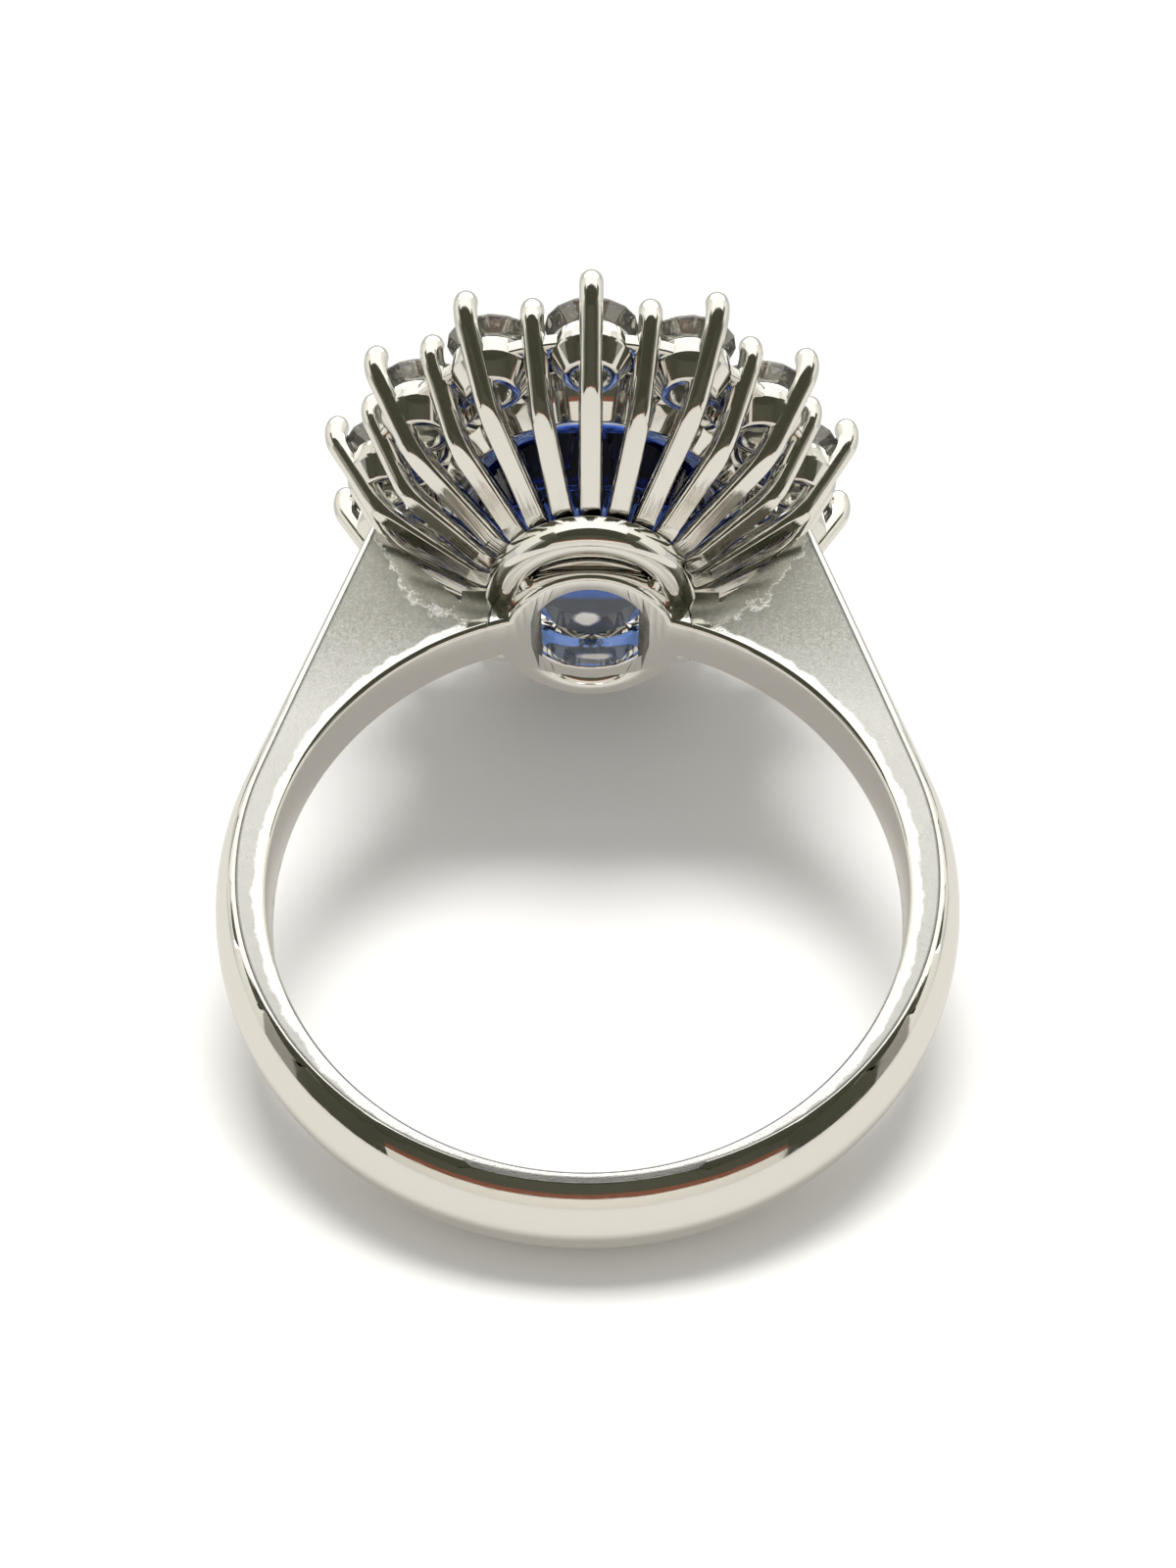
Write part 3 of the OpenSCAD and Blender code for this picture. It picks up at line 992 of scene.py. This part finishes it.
    def hand_over(self, finishes: list[bpy.types.Material], smooth: float = 35) -> None:
        """Lays the piece down on the paper with its finishes and ties it to the frame.

        Args:
            finishes: Its materials, in slot order.
            smooth: Edges sharper than this stay sharp, in degrees.
        """
        self.move_to(laid_down())
        for finish in finishes:
            self.obj.data.materials.append(finish)
        bpy.ops.object.shade_smooth_by_angle(angle=math.radians(smooth))
        self.modify("WEIGHTED_NORMAL", keep_sharp=True, weight=50)
        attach(self.obj, BODY)
        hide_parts(METAL_NODE)
        log.info("%s: %d faces", self.obj.name, len(self.obj.data.polygons))


@dataclass(frozen=True)
class Oval:
    """An oval seen from above, with its half width and half length."""

    x: float
    y: float

    def at(self, angle: float) -> Vector:
        """Gives a point of the oval.

        Args:
            angle: Degrees from the end of the oval that faces up.

        Returns:
            The point, at height 0.
        """
        turn = math.radians(angle)
        return Vector((self.x * math.sin(turn), -self.y * math.cos(turn), 0))

    def grown(self, by: float) -> "Oval":
        """Gives the oval that is larger all round by a distance."""
        return Oval(self.x + by, self.y + by)


@dataclass
class Places:
    """The places round the head: even ones have a diamond and a long wire, odd ones a short wire."""

    oval: Oval
    diamonds: int = 14
    walk: int = 720

    def __post_init__(self) -> None:
        """Walks round the oval once and keeps the distance at each step."""
        points = [self.oval.at(i * 360 / self.walk) for i in range(self.walk + 1)]
        self.walked = [0.0]
        for here, following in zip(points, points[1:]):
            self.walked.append(self.walked[-1] + (following - here).length)

    def angle(self, place: int) -> float:
        """Gives the oval's angle at a place, spaced evenly along the oval.

        Args:
            place: The place's number, from 0 at the end that faces up.

        Returns:
            The angle in degrees.
        """
        target = self.walked[-1] * place / (2 * self.diamonds)
        i = next((k for k, d in enumerate(self.walked) if d >= target - 1e-9), self.walk)
        if i == 0:
            return 0.0
        span = self.walked[i] - self.walked[i - 1]
        return (i - 1 + (target - self.walked[i - 1]) / span) * 360 / self.walk


# Sub-assemblies


@dataclass
class Shank:
    """The hoop with its two plate shoulders and the eyelet's lip.

    The blank reaches deeper inward and runs on past the shoulder's corner before it is cut.
    """

    form: HoopForm = HoopForm()
    blank_deep: float = 1.9
    blank_past: float = 2.0
    round_sides: int = 96
    hoop_steps: int = 54
    finger_sides: int = 256
    finger_half: float = 10.0
    lip: Oval = Oval(2.4, 2.6)
    lip_z: Span = (7.45, 9.25)
    lip_round: float = 0.28
    arm: Span = (7.2, 2.0)
    arm_inset: float = 0.01
    fillet: float = 0.55
    fillet_at: Span = (2.27, 0.86)
    fillet_near: Span = (0.2, 0.1)
    hole: Oval = Oval(1.65, 2.0)
    rim_round: float = 0.17
    hole_round: float = 0.07
    edge_round: float = 0.12
    edge_from_x: float = 3.0
    bore_near: float = 0.01
    side_near: float = 0.003
    hole_near: float = 1.02

    def build(self) -> Workpiece:
        """Builds the metal from the hoop up to the eyelet's lip.

        Returns:
            The piece.
        """
        piece = self.half_blank()
        piece.modify("MIRROR", use_axis=(True, False, False), merge_threshold=1e-3)
        piece.edit()
        self.cut_sides(piece, self.form.half_w)
        piece.combine(self.lip_blank(), Role.JOINED)
        piece.combine(self.finger(), Role.CUTTER)
        low, high = self.form.bore_r / 2, self.lip_z[1] + 1
        plug = Workpiece.plug("plug", self.hole, self.round_sides, low, high)
        piece.combine(plug, Role.CUTTER)
        self.round_rims(piece)
        return piece

    def cut_sides(self, piece: Workpiece, half_w: float) -> None:
        """Cuts both sides of a piece to the slope of the hoop's flat sides.

        Args:
            piece: The piece, in edit mode.
            half_w: Half of its width at the middle of the finger hole.
        """
        for side in (1, -1):
            piece.slice((0, side * half_w, 0), (0, side, self.form.slope))

    def on_bore(self, co: Vector) -> bool:
        """Says whether a point lies on the wall of the finger hole."""
        return abs(math.hypot(co.x, co.z) - self.form.bore_r) < self.bore_near

    def in_hole(self, co: Vector) -> bool:
        """Says whether a point lies at the eyelet's hole or inside it."""
        return co.z > 0 and math.hypot(co.x / self.hole.x, co.y / self.hole.y) < self.hole_near

    def on_side(self, co: Vector) -> bool:
        """Says whether a point lies on a flat side of the hoop or of a plate."""
        return abs(abs(co.y) - self.form.half_w + self.form.slope * co.z) < self.side_near

    def at_fillet(self, a: Vector, b: Vector) -> bool:
        """Says whether an edge is an upright one between the lip and an arm."""
        off = [abs(abs(at) - middle) < near
               for at, middle, near in zip(a.xy, self.fillet_at, self.fillet_near)]
        return abs(a.z - b.z) > 1 and all(off)

    def round_rims(self, piece: Workpiece) -> None:
        """Rounds the rims of the finger hole and of the eyelet's hole, and eases the edges of the sides.

        Args:
            piece: The shank.
        """
        piece.edit()
        piece.close_up()
        piece.pick_edges(lambda a, b: self.on_bore(a) and self.on_bore(b)
                         and not self.in_hole(a) and abs(a.y - b.y) < 0.5, sharper=40)
        piece.round_off(self.rim_round, 4)
        piece.pick_edges(lambda a, b: self.on_bore(a) and self.on_bore(b) and self.in_hole(a),
                         sharper=40)
        piece.round_off(self.hole_round, 3)
        piece.pick_edges(lambda a, b: self.on_side(a) and self.on_side(b)
                         and (min(abs(a.x), abs(b.x)) > self.edge_from_x or a.z < 0), sharper=30)
        piece.round_off(self.edge_round, 3)
        piece.to_object()

    def half_blank(self) -> Workpiece:
        """Sweeps the crown's section up one side, from the bottom of the hoop to past the shoulder.

        Returns:
            The right half, thicker inward than the finished hoop.
        """
        form = self.form
        low = form.crown_shift - form.middle_r()
        piece = Workpiece.disc("shank", form.crown_r, self.round_sides, (0, 0, low), (1, 0, 0))
        piece.pick(lambda co: co.z > low + NEAR)
        piece.shift((0, 0, self.blank_deep))
        bpy.ops.mesh.select_all(action="SELECT")
        lean, length = form.flank()
        piece.spin(-(90 + lean), (0, 0, form.crown_shift), (0, 1, 0), self.hoop_steps)
        turn, length = math.radians(lean), length + self.blank_past
        piece.extrude((-math.sin(turn) * length, 0, math.cos(turn) * length))
        across, up = form.edge_run()
        piece.slice((form.corner[0], 0, form.corner[1]), (-up, 0, across))
        piece.pick(lambda co: abs(co.x) < NEAR)
        bpy.ops.mesh.delete(type="ONLY_FACE")
        piece.close_up()
        piece.to_object()
        return piece

    def lip_blank(self) -> Workpiece:
        """Builds the eyelet's lip as an oval block with hollow corners toward the hoop's sides.

        Returns:
            The block.
        """
        foot, top = self.lip_z
        arm = Workpiece.block("arm", (*self.arm, top - foot), (0, 0, (foot + top) / 2))
        self.cut_sides(arm, self.form.half_w - self.arm_inset)
        arm.to_object()
        lip = Workpiece.plug("lip", self.lip, self.round_sides, foot, top)
        lip.pick_edges(lambda a, b: min(a.z, b.z) > top - NEAR, sharper=40)
        lip.round_off(self.lip_round, 5)
        lip.to_object()
        lip.combine(arm, Role.JOINED)
        lip.edit()
        lip.pick_edges(self.at_fillet, sharper=30)
        lip.round_off(self.fillet, 8)
        lip.to_object()
        return lip

    def finger(self) -> Workpiece:
        """Builds the cylinder that cuts the finger hole.

        Returns:
            The cylinder.
        """
        half = self.finger_half
        tool = Workpiece.disc("finger", self.form.bore_r, self.finger_sides, (0, -half, 0), (0, 1, 0))
        tool.extrude((0, 2 * half, 0))
        tool.close_up()
        tool.to_object()
        return tool

    def dress(self, piece: Workpiece, polished: bpy.types.Material, satin: bpy.types.Material) -> None:
        """Lays the shank down and gives its flat sides the satin finish.

        Args:
            piece: The shank.
            polished: Finish of the crown, the bore and the lip.
            satin: Finish of the flat sides.
        """
        piece.hand_over([polished, satin])
        turn = laid_down().to_3x3()
        flats = [(turn @ Vector((0, side, self.form.slope))).normalized() for side in (1, -1)]
        for face in piece.obj.data.polygons:
            if any(face.normal.dot(flat) > 0.9999 for flat in flats):
                face.material_index = 1


@dataclass(frozen=True)
class RodForm:
    """How a rod is bent: the inner bends of its path, and the hook at its tip in degrees."""

    radius: float
    bends: tuple[float, ...]
    hook: float
    hook_r: float
    sides: int = 20
    bend_steps: int = 8
    hook_steps: int = 6


@dataclass(frozen=True)
class WireEnd:
    """How far a wire's tip stands out from the diamonds' middles, and how high it bends and ends."""

    out: float
    bend_z: float
    tip_z: float


@dataclass
class Basket:
    """The wires, seats and rings that carry the stones.

    The radii in the outlines of the neck, the rail and the collar count from the oval that each
    follows. The tip of a wire's foot is given as seen from the foot's middle.
    """

    diamond_ring: Oval = Oval(5.83, 6.83)
    row_out: float = 1.63
    sapphire: Oval = Oval(4.5, 5.5)
    foot: Oval = Oval(2.8, 3.5)
    foot_z: float = 9.62
    foot_cut: float = 12
    foot_tip: Span = (0.719, 0.149)
    wire: RodForm = RodForm(0.33, (2.0, 1.0), 24, 0.68)
    wire_slope: float = 30
    knee_at: float = 0.695
    long_wire: WireEnd = WireEnd(1.6, 13.65, 14.5)
    short_wire: WireEnd = WireEnd(0.9, 13.4, 14.25)
    tip_lean: float = 6
    flat_cut: float = 0.1
    flat_round: float = 0.025
    claw: RodForm = RodForm(0.27, (0.45,), 70, 0.45)
    claw_step: int = 3
    claw_reach: Span = (-0.5, 0.34)
    claw_z: Span = (12.37, 14.12)
    claw_slope: float = 50
    cup_steps: int = 48
    cup: tuple[Corner, ...] = (
        Corner(0.52, 12.15, 0.03), Corner(0.75, 12.15, 0.06), Corner(1.15, 12.75, 0.08),
        Corner(1.1, 13.35, 0.12), Corner(0.85, 13.35, 0.04))
    ring_steps: int = 144
    base: Oval = Oval(2.62, 3.75)
    base_z: float = 9.18
    base_r: float = 0.46
    base_in: float = 0.08
    base_top: float = 9.58
    base_round: Span = (0.1, 0.07)
    neck_oval: Oval = Oval(2.2, 2.45)
    neck: tuple[Corner, ...] = (
        Corner(-0.4, 9.0), Corner(0, 9.0), Corner(0.05, 9.3), Corner(0.75, 9.34), Corner(0.75, 9.5),
        Corner(-0.4, 9.5))
    rail: tuple[Corner, ...] = (
        Corner(-0.6, 12.75, 0.08), Corner(0, 12.75, 0.08), Corner(0, 13.15, 0.08),
        Corner(-0.6, 13.15, 0.08))
    collar_in: float = 0.9
    collar: tuple[Corner, ...] = (
        Corner(0, 13.15, 0.08), Corner(-0.42, 12.56, 0.2), Corner(-0.95, 12.1, 0.06),
        Corner(-1.4, 12.1, 0.06), Corner(-0.45, 13.15, 0.08))
    post_foot: Oval = Oval(2.18, 2.38)
    post_foot_z: float = 8.9
    post_r: float = 0.22
    post_sides: int = 24
    post_angles: tuple[float, ...] = (52, 128, 232, 308)
    pieces: list[Workpiece] = field(default_factory=list)

    def __post_init__(self) -> None:
        """Spaces the places evenly along the row of wires."""
        self.places = Places(self.diamond_ring.grown(self.row_out))

    def rod(self, name: str, start: Vector, end: Vector, path: list[Span], form: RodForm) -> Workpiece:
        """Bends one rod along a path in the upright plane through x, and hooks its tip back over.

        Args:
            name: The rod's name.
            start: Its foot, seen from above.
            end: Its upright stretch, seen from above.
            path: Corners of its middle line, each a distance out from the foot and a height.
            form: How it is bent.

        Returns:
            The rod, in edit mode, still standing in the plane through x.
        """
        corners = [Vector((out, 0, height)) for out, height in path]
        ahead = (corners[1] - corners[0]).normalized()
        piece = Workpiece.disc(name, form.radius, form.sides, corners[0], ahead)
        here = corners[0]
        for corner, following, bend in zip(corners[1:], corners[2:], form.bends):
            onward = (following - corner).normalized()
            angle = ahead.angle(onward)
            cut = bend * math.tan(angle / 2)
            piece.extrude(corner - ahead * cut - here)
            middle = corner - ahead * cut + bend * Vector((-ahead.z, 0, ahead.x))
            piece.spin(-math.degrees(angle), middle, (0, 1, 0), form.bend_steps)
            here, ahead = corner + onward * cut, onward
        top, bend = corners[-1], form.hook_r
        piece.extrude(top - here)
        inward = Vector((-ahead.z, 0, ahead.x))
        piece.spin(-form.hook, top + bend * inward, (0, 1, 0), form.hook_steps)
        turn = math.radians(form.hook)
        top = top + bend * (math.sin(turn) * ahead + (1 - math.cos(turn)) * inward)
        piece.dome(top, math.cos(turn) * ahead + math.sin(turn) * inward, form.radius)
        piece.close_up()
        way = end - start
        heading = Matrix.Rotation(math.atan2(way.y, way.x), 4, "Z")
        piece.heading = Matrix.Translation((start.x, start.y, 0)) @ heading
        return piece

    def file_flat(self, piece: Workpiece) -> None:
        """Files a wire's underside flat, and the end of its foot nearly level.

        Args:
            piece: The wire, in edit mode in the plane through x.
        """
        slope, turn = math.radians(self.wire_slope), math.radians(self.foot_cut)
        down = Vector((math.sin(slope), 0, -math.cos(slope)))
        low = Vector((0, 0, self.foot_z)) + down * (self.wire.radius - self.flat_cut)
        piece.slice(low, down)
        piece.pick_edges(lambda a, b: max(abs((a - low).dot(down)), abs((b - low).dot(down))) < NEAR,
                         sharper=5)
        piece.round_off(self.flat_round, 2)
        out, up = self.foot_tip
        piece.slice((out, 0, self.foot_z + up), (math.sin(turn), 0, -math.cos(turn)))

    def wires(self) -> None:
        """Builds the long and short wires."""
        turn, lean = math.radians(self.wire.hook), math.radians(self.tip_lean)
        hooked = math.sin(turn) * math.cos(lean) + (1 - math.cos(turn)) * math.sin(lean)
        lift = self.wire.radius + self.wire.hook_r * hooked
        slope = math.radians(self.wire_slope)
        for place in range(2 * self.places.diamonds):
            around = self.places.angle(place)
            kind, tip = ("short_wire", self.short_wire) if place % 2 else ("long_wire", self.long_wire)
            start, end = self.foot.at(around), self.diamond_ring.grown(tip.out).at(around)
            reach = (end - start).length
            knee, top_z = self.knee_at * reach, tip.tip_z - lift
            path = [(0, self.foot_z), (knee, self.foot_z + knee * math.tan(slope)),
                    (reach - (top_z - tip.bend_z) * math.tan(lean), tip.bend_z), (reach, top_z)]
            wire = self.rod(f"{kind}_{place // 2 + 1:02d}", start, end, path, self.wire)
            self.file_flat(wire)
            wire.move_to(wire.heading)
            self.pieces.append(wire)

    def claws(self) -> None:
        """Builds the four claws over the sapphire."""
        half, step, (low, top) = self.places.diamonds, self.claw_step, self.claw_z
        for number, place in enumerate((step, half - step, half + step, 2 * half - step), 1):
            angle = self.places.angle(place)
            start, end = (self.sapphire.grown(by).at(angle) for by in self.claw_reach)
            reach = (end - start).length
            knee = low + reach * math.tan(math.radians(self.claw_slope))
            path = [(0, low), (reach, knee), (reach, top)]
            claw = self.rod(f"claw_{number}", start, end, path, self.claw)
            claw.move_to(claw.heading)
            self.pieces.append(claw)

    def seats(self) -> None:
        """Builds one seat cup and copies it under every diamond."""
        cup = Workpiece.turned("seat_cup", self.cup, self.cup_steps)
        for number in range(self.places.diamonds):
            spot = self.diamond_ring.at(self.places.angle(2 * number))
            self.pieces.append(cup.copy(f"seat_cup_{number + 1:02d}", Matrix.Translation(spot)))
        bpy.data.objects.remove(cup.obj)

    def ring(self, name: str, oval: Oval, outline: tuple[Corner, ...]) -> None:
        """Turns a ring that follows an oval.

        Args:
            name: The ring's name.
            oval: The oval.
            outline: Corners of its section, with their radii counted from the oval.
        """
        corners = [replace(corner, radius=oval.x + corner.radius) for corner in outline]
        self.pieces.append(Workpiece.turned(name, corners, self.ring_steps, oval.y - oval.x))

    def base_outline(self) -> tuple[Corner, ...]:
        """Gives the base ring's section, a round belly under an upright face.

        Returns:
            Its corners.
        """
        r, steps = self.base_r, 12
        turns = [math.pi * i / steps for i in range(steps + 1)]
        belly = [Corner(r * math.cos(turn) - self.base_in, self.base_z - r * math.sin(turn))
                 for turn in turns]
        face = [Corner(side * r - self.base_in, self.base_top, soft)
                for side, soft in zip((-1, 1), self.base_round)]
        return (*belly, *face)

    def rings(self) -> None:
        """Builds the base ring, the neck, the rail and the collar."""
        self.ring("base_ring", self.base, self.base_outline())
        self.ring("neck", self.neck_oval, self.neck)
        out = self.short_wire.out - self.wire.radius / 2
        self.ring("rail", self.diamond_ring.grown(out), self.rail)
        self.ring("collar", self.diamond_ring.grown(-self.collar_in), self.collar)

    def posts(self) -> None:
        """Builds the four posts between the lip and the base ring."""
        for number, angle in enumerate(self.post_angles, 1):
            foot = self.post_foot.at(angle) + Vector((0, 0, self.post_foot_z))
            head = self.base.at(angle) + Vector((0, 0, self.base_z))
            post = Workpiece.disc(f"post_{number}", self.post_r, self.post_sides, foot, head - foot)
            post.extrude(head - foot)
            post.close_up()
            self.pieces.append(post)

    def build(self) -> None:
        """Builds every piece of the basket."""
        self.rings()
        self.posts()
        self.seats()
        self.wires()
        self.claws()

    def dress(self, polished: bpy.types.Material, drawn: bpy.types.Material) -> None:
        """Lays every piece down, the wires in drawn metal and the rest polished.

        Args:
            polished: Finish of the rings, seats, posts and claws.
            drawn: Finish of the wires.
        """
        for piece in self.pieces:
            piece.hand_over([drawn if "_wire_" in piece.obj.name else polished])


@dataclass
class Stones:
    """The sapphire and the diamonds, which keep the frame's own facets."""

    sapphire: CutStone = ZonedStone("royal_blue_sapphire", (0.02, 0.06, 0.36, 1), 1.77)
    diamond: CutStone = CutStone("clear_diamond", (0.96, 0.95, 0.86, 1), 2.417, 0.9)

    def dress(self) -> None:
        """Gives every stone its finish."""
        blue, clear = self.sapphire.material(), self.diamond.material()
        for name, obj in frame["nodes"].items():
            if name == METAL_NODE:
                continue
            finish = blue if name == SAPPHIRE_NODE else clear
            for slot in obj.material_slots:
                slot.material = finish
            if not obj.material_slots:
                obj.data.materials.append(finish)
            log.info("%s: %s", name, finish.name)


# Studio


class Cloth(Enum):
    """The colours of the cards that the metal reflects."""

    DARK = (0.07, 0.07, 0.05, 1)
    RED = (0.2, 0.08, 0.05, 1)
    CREAM = (0.62, 0.59, 0.525, 1)
    WHITE = (1, 0.99, 0.97, 1)
    GREY = (0.6, 0.59, 0.53, 1)
    DIM = (0.45, 0.45, 0.43, 1)
    SHADE = (0.22, 0.21, 0.19, 1)
    # Tan paper in shade, for the painted reflection of the floor.
    PAPER_IN_SHADE = (0.473, 0.454, 0.42, 1)


@dataclass
class Studio:
    """White paper, a soft box, a room of cards and the camera at the photograph's angle.

    The paper, the room and the soft box are in metres, and the camera's place is in the ring's
    own axes and millimetres. The room gives its half width, and the camera sees between two
    distances in metres.
    """

    paper: float = 1.5
    room: float = 0.3
    room_light: Colour = (1.0, 0.995, 0.98, 1)
    room_power: float = 0.6
    card_lift: float = 0.0001
    box_at: Point = (0, 0.145, 0.45)
    box_size: Span = (0.26, 0.16)
    box_power: float = 1.97
    tilt: float = 29.75
    turn: float = -0.40
    roll: float = -0.56
    distance: float = 88.0
    target: Point = (-0.02, 0, 3.52)
    lens: float = 73.98
    sensor: float = 36
    sees: Span = (0.005, 10)

    def build(self, floor_z: float) -> None:
        """Sets up the paper, the lights and the camera.

        Args:
            floor_z: Height of the paper, in the frame's metres.
        """
        self.lay_paper(floor_z)
        self.light_room()
        self.soft_box()
        self.cards(floor_z + self.card_lift)
        self.camera()

    def lay_paper(self, floor_z: float) -> None:
        """Lays the paper down, well past the camera's view.

        Args:
            floor_z: Height of the paper.
        """
        Workpiece.clear_bench()
        bpy.ops.mesh.primitive_plane_add(size=self.paper, location=(0, 0, floor_z))
        sheet = bpy.context.object
        sheet.name = "paper"
        sheet.data.materials.append(Paper().material())
        sheet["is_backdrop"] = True

    def light_room(self) -> None:
        """Sets the light that the room gives from all round."""
        world = bpy.data.worlds.new("studio")
        bpy.context.scene.world = world
        bpy.context.scene.view_settings.view_transform = "Standard"
        world.use_nodes = True
        glow = world.node_tree.nodes["Background"].inputs
        glow["Color"].default_value = self.room_light
        glow["Strength"].default_value = self.room_power

    def soft_box(self) -> None:
        """Hangs a soft box that the metal doesn't reflect, aimed at the middle of the finger hole."""
        lamp = bpy.data.lights.new("back_box", "AREA")
        lamp.shape = "RECTANGLE"
        lamp.size, lamp.size_y = self.box_size
        lamp.energy = self.box_power
        obj = bpy.data.objects.new(lamp.name, lamp)
        bpy.context.scene.collection.objects.link(obj)
        obj.location = self.box_at
        obj.visible_glossy = False
        obj.rotation_euler = (-Vector(self.box_at)).to_track_quat("-Z", "Y").to_euler()

    def card(self, name: str, cloth: Cloth, low: Point, high: Point, glow: float) -> None:
        """Hangs a card that only the ring sees, in its reflections.

        Args:
            name: The card's name.
            cloth: Its cloth.
            low: One of its corners.
            high: The corner across from it, level with it along one axis.
            glow: How bright it shines of itself.
        """
        Workpiece.clear_bench()
        start, span = Vector(low), Vector(high) - Vector(low)
        first, last = (axis for axis in range(3) if span[axis])
        across, rise = Vector(), Vector()
        across[first], rise[last] = span[first], span[last]
        bpy.ops.mesh.primitive_plane_add(size=1, location=(0, 0, 0))
        card = bpy.context.object
        card.name = name
        turn = Matrix((across, rise, across.cross(rise).normalized())).transposed().to_4x4()
        card.matrix_world = Matrix.Translation(start + span / 2) @ turn
        bpy.ops.object.transform_apply()
        card.data.materials.append(MattCloth(f"{name}_cloth", cloth.value, glow).material())
        card.visible_camera = False
        card.visible_diffuse = False
        card.visible_shadow = False
        card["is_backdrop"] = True

    def cards(self, low: float) -> None:
        """Hangs the cards that close the room round the ring.

        Those across the room and those beside the ring are each given by the y and z of two
        corners.

        Args:
            low: Height of the cards on the floor.
        """
        far, near, middle, split = self.room, -0.1, -0.03, 0.02
        cream_top, red_top, dim_top, waist = 0.09, 0.138, 0.14, 0.16
        across = [
            ("dark_top", Cloth.DARK, (-far, far), (split, far), 0.0),
            ("dark_front", Cloth.DARK, (-far, red_top), (-far, far), 0.0),
            ("red_front", Cloth.RED, (-far, cream_top), (-far, red_top), 0.0),
            ("cream_front", Cloth.CREAM, (-far, low), (-far, cream_top), 0.2),
            # Painted reflection of the paper under the ring: a tan copy seen only in reflections, dimmer
            # for the shade on the floor, with glow lifting its shadowed parts.
            ("cream_floor", Cloth.PAPER_IN_SHADE, (-far, low), (split, low), 0.42),
            ("dim_floor", Cloth.DIM, (split, low), (far, low), 0.0),
            ("dim_back", Cloth.DIM, (far, low), (far, dim_top), 0.3),
            ("white_back", Cloth.WHITE, (far, dim_top), (far, far), 1.0),
            ("white_top", Cloth.WHITE, (split, far), (far, far), 0.3)]
        beside = [
            ("dark", Cloth.DARK, (-far, 0.0), (near, far), 0.0),
            ("shade", Cloth.SHADE, (near, 0.0), (middle, waist), 0.3),
            ("grey", Cloth.GREY, (middle, 0.0), (far, waist), 0.25),
            ("high", Cloth.DARK, (near, waist), (-near, far), 0.0),
            ("pale", Cloth.GREY, (-near, waist), (far, far), 0.25)]
        for name, cloth, start, end, glow in across:
            self.card(name, cloth, (-far, *start), (far, *end), glow)
        for x, side in ((-far, "left"), (far, "right")):
            for name, cloth, start, end, glow in beside:
                self.card(f"{name}_{side}", cloth, (x, *start), (x, *end), glow)

    def camera(self) -> None:
        """Stands the camera where the photograph was taken."""
        tilt, roll = math.radians(self.tilt), math.radians(self.roll)
        ahead = Vector((0, math.cos(tilt), math.sin(tilt)))
        up, right = Vector((0, -math.sin(tilt), math.cos(tilt))), Vector((1, 0, 0))
        side = math.cos(roll) * right - math.sin(roll) * up
        top = math.sin(roll) * right + math.cos(roll) * up
        ring, aside = laid_down(), Matrix.Rotation(-math.radians(self.turn), 3, "Z")
        place = ring @ (aside @ (Vector(self.target) - self.distance * ahead))
        axes = [(ring.to_3x3() @ (aside @ axis)).normalized() for axis in (side, top, -ahead)]
        camera = bpy.data.cameras.new("camera")
        camera.lens = self.lens
        camera.sensor_width = self.sensor
        camera.clip_start, camera.clip_end = self.sees
        obj = bpy.data.objects.new("camera", camera)
        bpy.context.scene.collection.objects.link(obj)
        obj.matrix_world = Matrix.Translation(place) @ Matrix(axes).transposed().to_4x4()
        bpy.context.scene.camera = obj


def main() -> None:
    """Builds the ring and its studio."""
    logging.basicConfig(level=logging.INFO, format="%(name)s %(message)s")
    cad = [list(corner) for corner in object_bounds()]
    polished, satin = PolishedMetal().material(), SatinMetal().material()
    shank = Shank()
    shank.dress(shank.build(), polished, satin)
    basket = Basket()
    basket.build()
    basket.dress(polished, DrawnWire().material())
    Stones().dress()
    Studio().build(cad[0][2])


if __name__ == "__main__":
    main()
